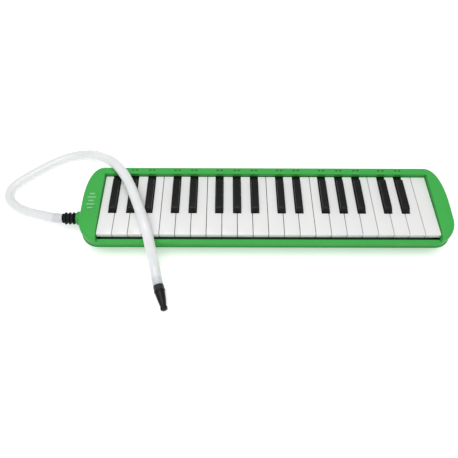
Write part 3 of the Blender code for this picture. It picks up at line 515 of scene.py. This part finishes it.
def turned(name, profile, start, along, sides, finish=None, hollow=False):
    """Turn a profile of (distance, radius) pairs about the axis from start along a direction."""
    along = Vector(along).normalized()
    side = along.orthogonal().normalized()
    up = along.cross(side)
    rings = []
    for distance, radius in profile:
        centre = Vector(start) + along * distance
        rings.append([centre + side * a + up * b for a, b in circle(radius, sides)])
    if hollow:
        rings.append(rings[0])
    bm = loft(rings, cap=not hollow)
    if hollow:
        bmesh.ops.remove_doubles(bm, verts=bm.verts, dist=1e-7)
    return add_object(name, bm, finish)


def combine(target, operation, *others):
    """Apply Boolean operations of others on target, and remove the others."""
    for other in others:
        step = target.modifiers.new("combine", "BOOLEAN")
        step.operation = operation
        step.solver = "EXACT"
        step.object = other
    graph = bpy.context.evaluated_depsgraph_get()
    result = bpy.data.meshes.new_from_object(target.evaluated_get(graph))
    target.modifiers.clear()
    old = target.data
    target.data = result
    bpy.data.meshes.remove(old)
    result.name = target.name
    for other in others:
        mesh = other.data
        bpy.data.objects.remove(other)
        bpy.data.meshes.remove(mesh)


def round_edges(obj, width, segments=3, chosen=None, angle=32):
    """Round the sharp edges of a mesh, or only those that chosen(edge) picks."""
    bm = bmesh.new()
    bm.from_mesh(obj.data)
    bmesh.ops.remove_doubles(bm, verts=bm.verts, dist=1e-6)
    bmesh.ops.dissolve_limit(bm, angle_limit=math.radians(0.3), verts=bm.verts, edges=bm.edges)
    sharp = []
    for edge in bm.edges:
        if edge.is_manifold and edge.calc_face_angle(0.0) > math.radians(angle):
            if chosen is None or chosen(edge):
                sharp.append(edge)
    bmesh.ops.bevel(bm, geom=sharp, offset=width, offset_type="OFFSET", segments=segments,
                    profile=0.5, affect="EDGES", clamp_overlap=True)
    bm.to_mesh(obj.data)
    bm.free()
    return obj


def shade(obj, angle=32):
    """Shade smooth apart from edges sharper than the angle."""
    obj.data.shade_smooth()
    obj.data.set_sharp_from_angle(angle=math.radians(angle))
    return obj


def settle(obj, slot, body="root", *nodes):
    """Put a finished piece on its body and hide the CAD nodes it stands for; the slot argument is not used.
    """
    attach(obj, body)
    if nodes:
        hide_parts(*nodes)
    return obj


# ---------------- hose and what is on its ends
def smooth_route(points, samples):
    """Read a centripetal Catmull-Rom curve through the points at even steps along it."""
    places = [Vector(p) for p in points]
    places = [places[0] * 2 - places[1]] + places + [places[-1] * 2 - places[-2]]
    dense = []
    for i in range(1, len(places) - 2):
        p0, p1, p2, p3 = places[i - 1:i + 3]
        t0 = 0.0
        t1 = t0 + math.sqrt((p1 - p0).length)
        t2 = t1 + math.sqrt((p2 - p1).length)
        t3 = t2 + math.sqrt((p3 - p2).length)
        for step in range(16):
            t = t1 + (t2 - t1) * step / 16
            a1 = p0 * ((t1 - t) / (t1 - t0)) + p1 * ((t - t0) / (t1 - t0))
            a2 = p1 * ((t2 - t) / (t2 - t1)) + p2 * ((t - t1) / (t2 - t1))
            a3 = p2 * ((t3 - t) / (t3 - t2)) + p3 * ((t - t2) / (t3 - t2))
            b1 = a1 * ((t2 - t) / (t2 - t0)) + a2 * ((t - t0) / (t2 - t0))
            b2 = a2 * ((t3 - t) / (t3 - t1)) + a3 * ((t - t1) / (t3 - t1))
            dense.append(b1 * ((t2 - t) / (t2 - t1)) + b2 * ((t - t1) / (t2 - t1)))
    dense.append(places[-2])
    total = sum((b - a).length for a, b in zip(dense, dense[1:]))
    result = [dense[0]]
    travelled = 0.0
    for a, b in zip(dense, dense[1:]):
        span = (b - a).length
        while len(result) < samples - 1 and travelled + span >= total * len(result) / (samples - 1):
            result.append(a.lerp(b, (total * len(result) / (samples - 1) - travelled) / span))
        travelled += span
    result.append(dense[-1])
    return result


def eased(points, rounds):
    """Soften the small kinks of a route; its ends and their directions stay."""
    for _ in range(rounds):
        inner = [(a + b * 2 + c) / 4 for a, b, c in zip(points[1:], points[2:], points[3:])]
        points = points[:2] + inner + points[-2:]
    return points


def make_hose():
    """Hollow vinyl tube along the route, with the path that it follows."""
    points = eased(smooth_route(HOSE_ROUTE, HOSE_SAMPLES), HOSE_EASING)
    travelled = [0.0]
    for a, b in zip(points, points[1:]):
        travelled.append(travelled[-1] + (b - a).length)
    side = (points[1] - points[0]).normalized().orthogonal().normalized()
    frames = []
    for i, point in enumerate(points):
        ahead = points[min(i + 1, len(points) - 1)] - points[max(i - 1, 0)]
        ahead.normalize()
        side = (side - ahead * side.dot(ahead)).normalized()
        frames.append((point, side.copy(), ahead.cross(side)))
    last = len(points) - 1
    inner = HOSE_RADIUS - HOSE_WALL
    order = [(i, HOSE_RADIUS - (HOSE_CUT if i in (0, last) else 0.0)) for i in range(last + 1)]
    order += [(i, inner + (HOSE_CUT if i in (0, last) else 0.0)) for i in range(last, -1, -1)]
    bm = bmesh.new()
    layer = bm.verts.layers.float.new("along")
    rows = []
    for i, radius in order:
        point, side, up = frames[i]
        row = [bm.verts.new(point + side * a + up * b) for a, b in circle(radius, HOSE_SIDES)]
        for vert in row:
            vert[layer] = travelled[i]
        rows.append(row)
    skin(bm, rows + rows[:1])
    return shade(add_object("blow_hose", bm, HOSE_VINYL), 50), points


def make_connector():
    """Ribbed rubber connector, with a nipple inside the hose and a spigot in the port."""
    low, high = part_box("hose_connector")
    start = Vector((low.x, (low.y + high.y) / 2, (low.z + high.z) / 2))
    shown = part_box("blow_port")[0].x - PORT_GAP - low.x
    groove = CONNECTOR_GROOVE
    rib = (high.z - low.z) / 2
    profile = [(-CONNECTOR_NIPPLE, CONNECTOR_BORE), (-CONNECTOR_NIPPLE, NIPPLE_TIP),
               (NIPPLE_LEAD - CONNECTOR_NIPPLE, NIPPLE), (0.0, NIPPLE), (0.0, 0.0052),
               (0.0006, 0.0060), (0.0016, groove)]
    pitch = (shown - 0.0024) / CONNECTOR_RIBS
    for turn in range(CONNECTOR_RIBS):
        begin = 0.0018 + turn * pitch
        profile += [(begin + 0.0004, groove), (begin + 0.0011, rib - 0.0004), (begin + 0.0015, rib)]
        profile += [(begin + 0.0021, rib), (begin + 0.0025, rib - 0.0004), (begin + 0.0032, groove)]
    length = high.x - low.x
    profile += [(shown - 0.0006, CONNECTOR_SHOULDER), (shown, CONNECTOR_SHOULDER),
                (shown, CONNECTOR_SPIGOT), (length - 0.0006, CONNECTOR_SPIGOT), (length, 0.0048),
                (length, CONNECTOR_BORE)]
    piece = turned("ribbed_connector", profile, start, (1, 0, 0), 44, RUBBER, True)
    return settle(shade(piece, 40), "connector_black", "root", "hose_connector")


def make_mouthpiece():
    """Black mouthpiece: a nipple in the hose, a collar, a taper and a bite lip."""
    along = MOUTH_END - MOUTH_START
    length = along.length
    wide, narrow = MOUTH_TAPER
    profile = [(-MOUTH_NIPPLE, MOUTH_BORE), (-MOUTH_NIPPLE, NIPPLE_TIP),
               (NIPPLE_LEAD - MOUTH_NIPPLE, NIPPLE), (0.0, NIPPLE), (0.0, 0.0055), (0.0005, 0.0059),
               (0.0012, 0.0060), (0.0056, 0.0060), (0.0060, 0.0062), (0.0064, 0.0063), (0.0076, 0.0063),
               (0.0080, 0.0062), (0.0084, 0.0059)]
    for step in range(MOUTH_TAPER_STEPS + 1):
        share = step / MOUTH_TAPER_STEPS
        bulge = MOUTH_BULGE * math.sin(math.pi * share)
        distance = MOUTH_TAPER_START + (length - 0.0140) * share
        profile.append((distance, wide + (narrow - wide) * share + bulge))
    for step in range(LIP_STEPS + 1):
        angle = math.pi * step / LIP_STEPS
        distance = length - 0.0024 - 0.0020 * math.cos(angle)
        profile.append((distance, narrow + LIP_RADIUS * math.sin(angle)))
    profile += [(length - 0.0001, 0.0031), (length, 0.0028), (length, MOUTH_BORE)]
    piece = turned("mouthpiece_body", profile, MOUTH_START, along, 44, MOUTH_BLACK, True)
    return settle(shade(piece, 40), "mouthpiece_black", "root", "mouthpiece")


def make_port():
    """Green blow port: a tube with a rounded mouth, a stop flange and a narrower inner end."""
    low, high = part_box("blow_port")
    start = Vector((low.x, (low.y + high.y) / 2, (low.z + high.z) / 2))
    outer = PORT_OUTER
    length = high.x - low.x
    near, far = PORT_FLANGE_X
    profile = [(0.0, PORT_BORE), (0.0, outer - 0.0012), (0.0002, outer - 0.0006), (0.0007, outer - 0.0001),
               (0.0012, outer), (0.0076, outer), (near, outer), (near, PORT_FLANGE), (far, PORT_FLANGE),
               (far, PORT_NECK), (length, PORT_NECK), (length, PORT_BORE)]
    piece = turned("blow_port_body", profile, start, (1, 0, 0), 56, CASE_GREEN, True)
    settle(shade(piece, 40), "case_green", "root", "blow_port")


# ---------------- case
def case_profile(y):
    """Height of the upper case's top at depth y."""
    if y >= FALL_START:
        return CASE_TOP
    share = (FALL_START - y) / (FALL_START - CASE_LOW.y)
    return CASE_TOP - CASE_FALL * share ** FALL_POWER


def corner_points(half, back, front, shrink, corner=BACK_CORNER):
    """Right half of a plan outline, from the back edge round to the front edge."""
    points = []
    for step in range(CORNER_STEPS + 1):
        angle = math.pi / 2 * (1 - step / CORNER_STEPS)
        a = corner[0] - shrink
        b = corner[1] - shrink
        across = a * max(math.cos(angle), 0.0) ** (2 / BACK_POWER)
        deep = b * max(math.sin(angle), 0.0) ** (2 / BACK_POWER)
        points.append((half - shrink - a + across, back - shrink - b + deep))
    for step in range(CORNER_STEPS + 1):
        angle = math.pi / 2 * step / CORNER_STEPS
        a = FRONT_CORNER[0] - shrink
        b = FRONT_CORNER[1] - shrink
        points.append((half - shrink - a + a * math.cos(angle), front + shrink + b - b * math.sin(angle)))
    return points


def mirrored(points):
    """Close a right half outline with its mirror image, moved outwards at the bass end."""
    return points + [(-x - BASS_EXTRA, y, *rest) for x, y, *rest in reversed(points)]


def edge_radius(index):
    """Top edge radius at a point of the half outline."""
    back, side, front = EDGE_ROUND
    if index <= CORNER_STEPS:
        return back + (side - back) * index / CORNER_STEPS
    return side + (front - side) * (index - CORNER_STEPS - 1) / CORNER_STEPS


def case_form(name, inset, lowering, z_low, finish=None):
    """Upper case's outer form, or its hollow when inset and lowered."""
    low = [(x, y, z_low) for x, y in corner_points(CASE_HALF, CASE_HIGH.y, CASE_LOW.y, inset)]
    rings = [mirrored(low)]
    for step in range(ROUND_STEPS + 1):
        angle = math.pi / 2 * step / ROUND_STEPS
        ring = []
        for index in range(2 * CORNER_STEPS + 2):
            radius = max(edge_radius(index) - inset, LEAST_ROUND)
            shrink = inset + radius * (1 - math.cos(angle))
            x, y = corner_points(CASE_HALF, CASE_HIGH.y, CASE_LOW.y, shrink)[index]
            top = case_profile(y) - lowering
            ring.append((x, y, top - radius * (1 - math.sin(angle))))
        rings.append(mirrored(ring))
    bm = loft(rings, cap=False)
    bm.verts.ensure_lookup_table()
    count = len(rings[0])
    for row in (0, len(rings) - 1):
        ring = [bm.verts[row * count + i] for i in range(count)]
        for i in range(count // 2 - 1):
            bm.faces.new((ring[i], ring[i + 1], ring[count - 2 - i], ring[count - 1 - i]))
    return add_object(name, bm, finish)


def end_hole(x_low, x_high, node, clear):
    """Cutter along X for a hole round a CAD node."""
    low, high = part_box(node)
    middle = (low + high) / 2
    radius = min(PORT_OUTER, (high.z - low.z) / 2) + clear
    profile = [(0.0, radius), (x_high - x_low, radius)]
    return turned("hole", profile, (x_low, middle.y, middle.z), (1, 0, 0), 56)


def end_holes():
    """Cutters for the blow port's hole and the drain button's hole."""
    near, far = END_HOLE_X
    return [end_hole(-far, -near, "blow_port", PORT_GAP), end_hole(near, far, "drain_button", BUTTON_GAP)]


def make_upper_case():
    """Upper case: end blocks, back strip, front lip and skirt, with softened edges."""
    case = case_form("case_upper", 0.0, 0.0, SEAM_Z, CASE_GREEN)
    hollow = case_form("hollow", WALL, LIP_THICK, SEAM_Z - 0.004)
    high = CASE_TOP + PAST
    inner = WINDOW_HALF + RIB_THICK
    combine(
        hollow, "DIFFERENCE",
        block("lip", (-inner, inner), (CASE_LOW.y - PAST, LIP_BACK), (LIP_TOP - LIP_THICK, high)),
        block("rib", (-inner, -WINDOW_HALF), CUT_DEPTH, (RIB_FOOT, high)),
        block("rib", (WINDOW_HALF, inner), CUT_DEPTH, (RIB_FOOT, high)),
        block("strip", (-inner, inner), (STRIP_FRONT, STRIP_FRONT + STRIP_WALL), (STRIP_FOOT, high)),
    )
    combine(
        case, "DIFFERENCE", hollow,
        block("window", (-WINDOW_HALF, WINDOW_HALF), (LIP_BACK, STRIP_FRONT), (0.0, high)),
        block("lowering", (-WINDOW_HALF, WINDOW_HALF), (CUT_DEPTH[0], LIP_BACK + 0.001), (LIP_TOP, high)),
        *end_holes(),
    )

    def window_edge(edge):
        """Whether an edge is on top of the window's sides or of its back."""
        first, second = (vert.co for vert in edge.verts)
        level = math.hypot(first.x - second.x, first.y - second.y) > 1e-6
        sides = all(abs(abs(p.x) - WINDOW_HALF) < 1e-5 and p.z > LIP_TOP + 0.0005 for p in (first, second))
        back = all(abs(p.y - STRIP_FRONT) < 1e-5 and p.z > CASE_TOP - 1e-5 for p in (first, second))
        return level and (sides or back)

    round_edges(case, WINDOW_ROUND, 6, window_edge)
    round_edges(case, CASE_EDGE, 4)
    settle(shade(case, 28), "case_green", "root", "top_case")


def tub_form(name, shrink, z_low, z_high, finish=None):
    """Lower case's outer form between two heights, or its hollow when shrunk."""
    rings = []
    levels = [(z_low, 0.0), (z_high, 0.0)]
    if shrink == 0.0:
        levels = [(z_low, BASE_EDGE), (z_low + BASE_EDGE * 0.12, BASE_EDGE * 0.5),
                  (z_low + BASE_EDGE * 0.5, BASE_EDGE * 0.12), (z_low + BASE_EDGE, 0.0), (z_high, 0.0)]
    for z, pinch in levels:
        share = z / SEAM_Z
        half = BASE_HALF + (CASE_HALF - TUB_INSET - BASE_HALF) * share
        back = BASE_BACK + (CASE_HIGH.y - TUB_INSET - BASE_BACK) * share
        front = BASE_FRONT + (CASE_LOW.y + TUB_INSET - BASE_FRONT) * share
        corner = [low + (high - low) * share for low, high in zip(BASE_CORNER, BACK_CORNER)]
        points = corner_points(half, back, front, shrink + pinch, corner)
        rings.append(mirrored([(x, y, z) for x, y in points]))
    return add_object(name, loft(rings), finish)


SCREW_BOXES = [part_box("case_screw_%d" % number) for number in range(1, 5)]
SCREW_CENTRES = [(low + high) / 2 for low, high in SCREW_BOXES]


def make_lower_case():
    """Lower case: tapered tub with a recessed base panel, screw columns and sunk screw seats."""
    tub = tub_form("case_lower", 0.0, 0.0, TUB_TOP, CASE_GREEN)
    combine(tub, "DIFFERENCE", tub_form("hollow", WALL, FLOOR_THICK, TUB_TOP + 0.002))
    columns = []
    holes = end_holes()
    for centre in SCREW_CENTRES:
        foot = (centre.x, centre.y, COLUMN_FOOT)
        column = [(0.0, COLUMN_RADIUS), (COLUMN_HEIGHT, COLUMN_RADIUS)]
        columns.append(turned("column", column, foot, (0, 0, 1), 40))
        under = (centre.x, centre.y, BELOW_BASE)
        holes.append(turned("seat", [(0.0, SEAT_RADIUS), (SEAT_DEPTH, SEAT_RADIUS)], under, (0, 0, 1), 40))
        bore = [(0.0, SHANK_HOLE), (SHANK_HOLE_DEPTH, SHANK_HOLE)]
        holes.append(turned("bore", bore, under, (0, 0, 1), 24))
    combine(tub, "UNION", *columns)
    combine(tub, "DIFFERENCE", *holes)
    combine(tub, "DIFFERENCE", tub_form("panel", PANEL_INSET, BELOW_BASE, PANEL_DEPTH))
    round_edges(tub, 0.0004, 3)
    settle(shade(tub, 28), "case_green", "root", "bottom_case")


# ---------------- keys
WHITE_WALL = 0.0062  # depth of a white key's front wall
WHITE_WALL_THICK = 0.0023
WHITE_PLATE = 0.0030
WHITE_EDGE = 0.0004
NOTCH_GAP = 0.0002
NOTCH_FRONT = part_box(BLACK_NAMES[0])[0].y - 0.0006
KEY_BACK = 0.0389
WEB_HALF = 0.0025
WEB_EDGE = 0.00025
ROD_GAP = 0.0003
ROD_ROUND_STEPS = 12
BLACK_BACK = 0.0315  # back of the raised part
BLACK_HALF = 0.0043  # half width at its foot
BLACK_TAPER = 0.0007  # how much less at its top
BLACK_EDGE = 0.0009
BLACK_TAIL_HALF = 0.0041
BLACK_TAIL_EDGE = 0.0003
PAD_GAP = 0.0003
PAD_HALF = 0.0040
PAD_FACE = 0.0014  # thickness of the soft face
PAD_CARRIER = (0.0012, 0.0026)  # foot and top of the carrier
PAD_STEP = 0.0006  # how much narrower the carrier is
PAD_EDGE = 0.0004
PAD_FRONT = 0.0315
PAD_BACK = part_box(WHITE_NAMES[0])[1].y - 0.0008


def web_outline(top):
    """Side view of a key's web, with its open notch over the rod and its tail."""
    reach = ROD_RADIUS + ROD_GAP
    foot = PIVOT.z - 0.0025
    heel = DECK_TOP + 0.0029
    tail_front = PAD_FRONT + 0.001
    tail_back = PAD_BACK + 0.0008
    back_edge = KEY_BACK - 0.0006
    notch = []
    for step in range(ROD_ROUND_STEPS + 1):
        angle = math.pi * (1 - step / ROD_ROUND_STEPS)
        notch.append((PIVOT.y + reach * math.cos(angle), PIVOT.z + reach * math.sin(angle)))
    front = [(0.002, top), (0.002, 0.0335), (0.008, 0.0290), (PIVOT.y - 0.008, foot),
             (PIVOT.y - reach, foot)]
    back = [(PIVOT.y + reach, foot), (PIVOT.y + 0.006, foot), (tail_front, 0.0258), (tail_front, heel),
            (tail_back, heel), (tail_back, 0.0300), (0.0400, 0.0335), (back_edge, 0.0345), (back_edge, top)]
    return front + notch + back


def make_web(centre, top):
    """Web of one key."""
    web = prism_x("web", web_outline(top), centre - WEB_HALF, centre + WEB_HALF)
    return round_edges(web, WEB_EDGE, 2)


def make_pad(name, centre):
    """Two-layer pad under a key's tail: a carrier and a softer, wider face."""
    low = DECK_TOP + PAD_GAP
    pad = block(name + "_pad", around(centre, PAD_HALF), (PAD_FRONT, PAD_BACK), (low, low + PAD_FACE),
                PAD_RUBBER)
    carrier = block("carrier", around(centre, PAD_HALF - PAD_STEP),
                    (PAD_FRONT + PAD_STEP, PAD_BACK - PAD_STEP),
                    (low + PAD_CARRIER[0], low + PAD_CARRIER[1]))
    round_edges(pad, PAD_EDGE, 3)
    combine(pad, "UNION", carrier)
    settle(shade(pad), "gasket_foam", name + "_lever")


def make_white_key(name):
    """White key: top plate and front wall with soft edges, notches for its black neighbours, web."""
    low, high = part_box(name)
    notch_low = low.x
    notch_high = high.x
    for other in BLACK_NAMES:
        black_low, black_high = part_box(other)
        if black_low.x < low.x < black_high.x:
            notch_low = black_high.x + NOTCH_GAP
        if black_low.x < high.x < black_high.x:
            notch_high = black_low.x - NOTCH_GAP
    bottom = KEY_TOP - WHITE_PLATE
    front_bottom = KEY_TOP - WHITE_WALL
    wall_back = KEY_FRONT + WHITE_WALL_THICK
    outline = [(KEY_FRONT, KEY_TOP), (KEY_FRONT, front_bottom), (wall_back, front_bottom),
               (wall_back, bottom), (KEY_BACK, bottom), (KEY_BACK, KEY_TOP)]
    key = prism_x(name + "_top", outline, low.x, high.x, KEY_WHITE)
    cuts = []
    depth = (NOTCH_FRONT, CUT_DEPTH[1])
    height = (0.02, 0.05)
    if notch_low > low.x:
        cuts.append(block("notch", (low.x - 0.002, notch_low), depth, height))
    if notch_high < high.x:
        cuts.append(block("notch", (notch_high, high.x + 0.002), depth, height))
    if cuts:
        combine(key, "DIFFERENCE", *cuts)
    round_edges(key, WHITE_EDGE, 3)
    centre = (notch_low + notch_high) / 2
    combine(key, "UNION", make_web(centre, KEY_TOP - 0.0012))
    settle(shade(key), "key_white", name + "_lever", name)
    make_pad(name, centre)


def black_cap(centre, low, high):
    """Raised part of a black key: tapered sides, a sloping front and rounded edges."""
    base = KEY_TOP - 0.005
    front = low.y
    outline = [(front, base), (front + 0.0004, high.z - 0.0042), (front + 0.0036, high.z - 0.0004),
               (front + 0.0080, high.z), (BLACK_BACK - 0.0004, high.z), (BLACK_BACK + 0.0004, base)]
    rings = []
    for side in (-1, 1):
        ring = []
        for y, z in outline:
            half = BLACK_HALF - BLACK_TAPER * (z - base) / (high.z - base)
            ring.append((centre + side * half, y, z))
        rings.append(ring)
    cap = add_object("cap", loft(rings))
    return round_edges(cap, BLACK_EDGE, 5, lambda edge: min(v.co.z for v in edge.verts) > base + 0.001)


def make_black_key(name):
    """Black key: rounded cap, low tail towards the strip, web."""
    low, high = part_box(name)
    centre = (low.x + high.x) / 2
    cap = black_cap(centre, low, high)
    cap.name = name + "_top"
    cap.data.materials.append(KEY_BLACK)
    tail = block("tail", around(centre, BLACK_TAIL_HALF), (0.028, KEY_BACK),
                 (KEY_TOP - 0.0047, KEY_TOP - 0.0006))
    round_edges(tail, BLACK_TAIL_EDGE, 2)
    combine(cap, "UNION", tail, make_web(centre, KEY_TOP - 0.003))
    settle(shade(cap), "key_black", name + "_lever", name)
    make_pad(name, centre)


# ---------------- printed marks
INK_SUNK = 0.00006  # ink below and above the case's top
INK_RAISED = 0.00004
DASH_SPREAD = 0.0024  # from the middle of a pair to each dash
DASH_Y = 0.0448
DASH_HALF = (0.0016, 0.0010)
BAR_COUNT = 5
BAR_X = -0.2052
BAR_Y = 0.0092  # the rearmost bar
BAR_PITCH = 0.0050
BAR_LENGTHS = (0.0034, 0.0050)  # half lengths, in turn
BAR_HALF = 0.0011


def printed_bars(name, bars, height, finish):
    """Thin ink bars with round corners: each is (x, y, half length along X, half width along Y)."""
    bm = bmesh.new()
    for x, y, half_x, half_y in bars:
        corner = min(half_x, half_y) * 0.9
        rings = []
        for z in (height - INK_SUNK, height + INK_RAISED):
            ring = []
            for quarter, (sx, sy) in enumerate(((1, 1), (-1, 1), (-1, -1), (1, -1))):
                for step in range(5):
                    angle = math.pi / 2 * (quarter + step / 4)
                    ring.append((x + sx * (half_x - corner) + corner * math.cos(angle),
                                 y + sy * (half_y - corner) + corner * math.sin(angle), z))
            rings.append(ring)
        add_body(bm, rings)
    return add_object(name, bm, finish)


def make_marks():
    """A pair of plain dashes behind each black key, and a plain mark of bars on the bass block."""
    dashes = []
    for name in BLACK_NAMES:
        low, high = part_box(name)
        centre = (low.x + high.x) / 2
        for offset in (-DASH_SPREAD, DASH_SPREAD):
            dashes.append((centre + offset, DASH_Y, *DASH_HALF))
    settle(printed_bars("note_marks", dashes, CASE_TOP, INK_DARK), "case_green")
    bars = [(BAR_X, BAR_Y - BAR_PITCH * row, BAR_LENGTHS[row % 2], BAR_HALF) for row in range(BAR_COUNT)]
    settle(printed_bars("bass_block_mark", bars, CASE_TOP, INK_LIGHT), "case_green")


# ---------------- drain valve and fasteners
SHANK = 0.0012  # radius of a screw's thread
THREAD_PITCH = 0.0009
SLOT_HALF = 0.0004  # half width of the cross recess
CASE_SCREW_HEAD = 0.0018
COVER_SCREW_HEAD = 0.0012


def make_drain_button():
    """Push button on the treble end, with a dished face and a grip groove."""
    low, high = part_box("drain_button")
    start = Vector((high.x, (low.y + high.y) / 2, (low.z + high.z) / 2))
    outer = (high.z - low.z) / 2
    dish = [(0.0007 * (1 - (step / 6) ** 2), outer * 0.72 * step / 6 + 0.00002) for step in range(7)]
    profile = dish + [(0.0, outer - 0.0010), (0.0003, outer - 0.0003), (0.0009, outer), (0.0024, outer),
                      (0.0027, outer - 0.0003), (0.0033, outer - 0.0003), (0.0036, outer), (0.0065, outer),
                      (0.0065, 0.0020), (high.x - low.x, 0.0020)]
    piece = turned("drain_button_body", profile, start, (-1, 0, 0), 40, RUBBER)
    settle(shade(piece), "connector_black", "drain_valve", "drain_button")


def make_screw(node, head):
    """Pan head screw with a cross recess in its head and a ringed shank for its thread."""
    low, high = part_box(node)
    centre = Vector(((low.x + high.x) / 2, (low.y + high.y) / 2, low.z))
    radius = (high.x - low.x) / 2
    length = high.z - low.z
    profile = [(0.0, 0.0003), (0.0, radius * 0.62), (head * 0.12, radius * 0.86), (head * 0.45, radius),
               (head, radius), (head, SHANK * 0.82)]
    turns = int((length - head - 0.003) / THREAD_PITCH)
    for turn in range(turns):
        begin = head + 0.001 + turn * THREAD_PITCH
        profile += [(begin, SHANK * 0.80), (begin + THREAD_PITCH * 0.35, SHANK),
                    (begin + THREAD_PITCH * 0.5, SHANK), (begin + THREAD_PITCH * 0.85, SHANK * 0.80)]
    profile += [(length - 0.0012, SHANK * 0.75), (length, 0.0002)]
    screw = turned(node + "_body", profile, centre, (0, 0, 1), 28, STEEL)
    arm = radius * 0.55
    sunk = (low.z - 0.001, low.z + head * 0.6)
    cuts = []
    for half_x, half_y in ((arm, SLOT_HALF), (SLOT_HALF, arm)):
        cuts.append(block("arm", around(centre.x, half_x), around(centre.y, half_y), sunk))
    combine(screw, "DIFFERENCE", *cuts)
    settle(shade(screw, 40), "steel", "root", node)


# ---------------- inner parts
REED_LONGEST = 0.0245  # at the bass end of the case
REED_FALL = 0.0125  # how much shorter at the treble end
REED_ROOT_Y = 0.0413
REED_THICK = 0.00018
PLATE_GAP = 0.0003  # between a reed plate and its reeds
FELT_STEPS = 120


def make_reeds(side):
    """Reed tongues of one plate: each with its rivet, longer towards the bass."""
    low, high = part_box("reed_plate_" + side)
    bm = bmesh.new()
    centres = sorted(0.5 * (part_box(n)[0].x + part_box(n)[1].x) for n in KEY_NAMES)
    for x in centres:
        if not low.x < x < high.x:
            continue
        share = (x + CASE_HALF) / (2 * CASE_HALF)
        length = REED_LONGEST - REED_FALL * share
        tongue = []
        foot = REED_ROOT_Y - length
        for y, lift, half in ((REED_ROOT_Y, 0.0006, 0.0009), (REED_ROOT_Y - length * 0.5, 0.0001, 0.0010),
                              (foot, 0.0, 0.0012), (foot - 0.0024, 0.0, 0.0012)):
            z = low.z - PLATE_GAP - lift
            tongue.append([(x - half, y, z), (x + half, y, z), (x + half, y, z + REED_THICK),
                           (x - half, y, z + REED_THICK)])
        add_body(bm, tongue)
        base = Vector((x, foot - 0.0012, low.z - PLATE_GAP))
        rivet = [(0.0, 0.0009), (-0.0003, 0.0008), (-0.0005, 0.0004)]
        add_body(bm, [[base + Vector((a, b, z)) for a, b in circle(radius, 12)] for z, radius in rivet])
    settle(shade(add_object("reed_tongues_" + side, bm, BRASS)), "reed_brass")


def make_rest_felt():
    """Felt strip on the duct that stops the keys, with soft uneven edges."""
    low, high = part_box("key_rest_felt")
    rings = []
    for step in range(FELT_STEPS + 1):
        x = low.x + (high.x - low.x) * step / FELT_STEPS
        wave = 0.00018 * math.sin(step * 1.7) + 0.00012 * math.sin(step * 4.1)
        front = low.y + 0.0002 + wave
        back = high.y - 0.0002 + wave * 0.6
        top = high.z - 0.00015 + wave * 0.5
        rings.append([(x, front, low.z), (x, front, top - 0.0005), (x, front + 0.0005, top),
                      (x, back - 0.0005, top), (x, back, top - 0.0005), (x, back, low.z)])
    piece = add_object("rest_felt", loft(rings), FELT)
    settle(shade(piece, 40), "felt_red", "root", "key_rest_felt")


def repaint():
    """Give the CAD nodes that stay their detailed materials."""
    finishes = {"reed_chamber": CHAMBER_GREY, "chamber_cover": CHAMBER_GREY, "chamber_gasket": FOAM,
                "reed_plate_bass": BRASS, "reed_plate_treble": BRASS, "pivot_rod": STEEL,
                "spring_comb": STEEL, "drain_spring": STEEL, "drain_seal": RUBBER}
    for name, finish in finishes.items():
        node = frame["nodes"][name]
        node.data.materials.clear()
        node.data.materials.append(finish)


# ---------------- floor and light
FLOOR_GLOW = 0.36
WORLD_STRENGTH = 0.38
LIGHT_PLACE = (-0.18, -0.35, 2.0)
LIGHT_SIZE = 1.7
LIGHT_POWER = 30.0  # watts


def make_floor():
    """Plain pale floor."""
    bm = bmesh.new()
    bmesh.ops.create_grid(bm, x_segments=1, y_segments=1, size=30.0)
    n = Nodes("floor")
    tint = n.mix(n.noise(3.0), (0.955, 0.955, 0.955), (0.965, 0.965, 0.965))
    white = n.finish(tint, 0.9, None, Specular_IOR_Level=0.1, Emission_Color=(1.0, 1.0, 1.0, 1.0),
                     Emission_Strength=FLOOR_GLOW)
    add_object("floor", bm, white)


def make_light():
    """White surroundings and one large soft box overhead, aimed at the origin."""
    world = bpy.data.worlds.new("studio")
    world.use_nodes = True
    back = world.node_tree.nodes["Background"]
    back.inputs["Color"].default_value = (1.0, 1.0, 1.0, 1.0)
    back.inputs["Strength"].default_value = WORLD_STRENGTH
    bpy.context.scene.world = world
    data = bpy.data.lights.new("box_above", "AREA")
    data.size = LIGHT_SIZE
    data.energy = LIGHT_POWER
    light = bpy.data.objects.new("box_above", data)
    bpy.context.scene.collection.objects.link(light)
    light.location = LIGHT_PLACE
    light.rotation_euler = (-Vector(LIGHT_PLACE)).to_track_quat("-Z", "Y").to_euler()
    bpy.context.scene.view_settings.view_transform = "Standard"


# ---------------- assembly
make_camera()
hose, hose_path = make_hose()
settle(hose, "hose_milky", "root", "hose")
connector = make_connector()
mouthpiece = make_mouthpiece()
make_port()
make_upper_case()
make_lower_case()
for key_name in WHITE_NAMES:
    make_white_key(key_name)
for key_name in BLACK_NAMES:
    make_black_key(key_name)
make_marks()
make_drain_button()
for number in range(1, 5):
    make_screw("case_screw_%d" % number, CASE_SCREW_HEAD)
for number in range(1, 3):
    make_screw("cover_screw_%d" % number, COVER_SCREW_HEAD)
for plate_side in ("bass", "treble"):
    make_reeds(plate_side)
make_rest_felt()
repaint()
make_floor()
make_light()
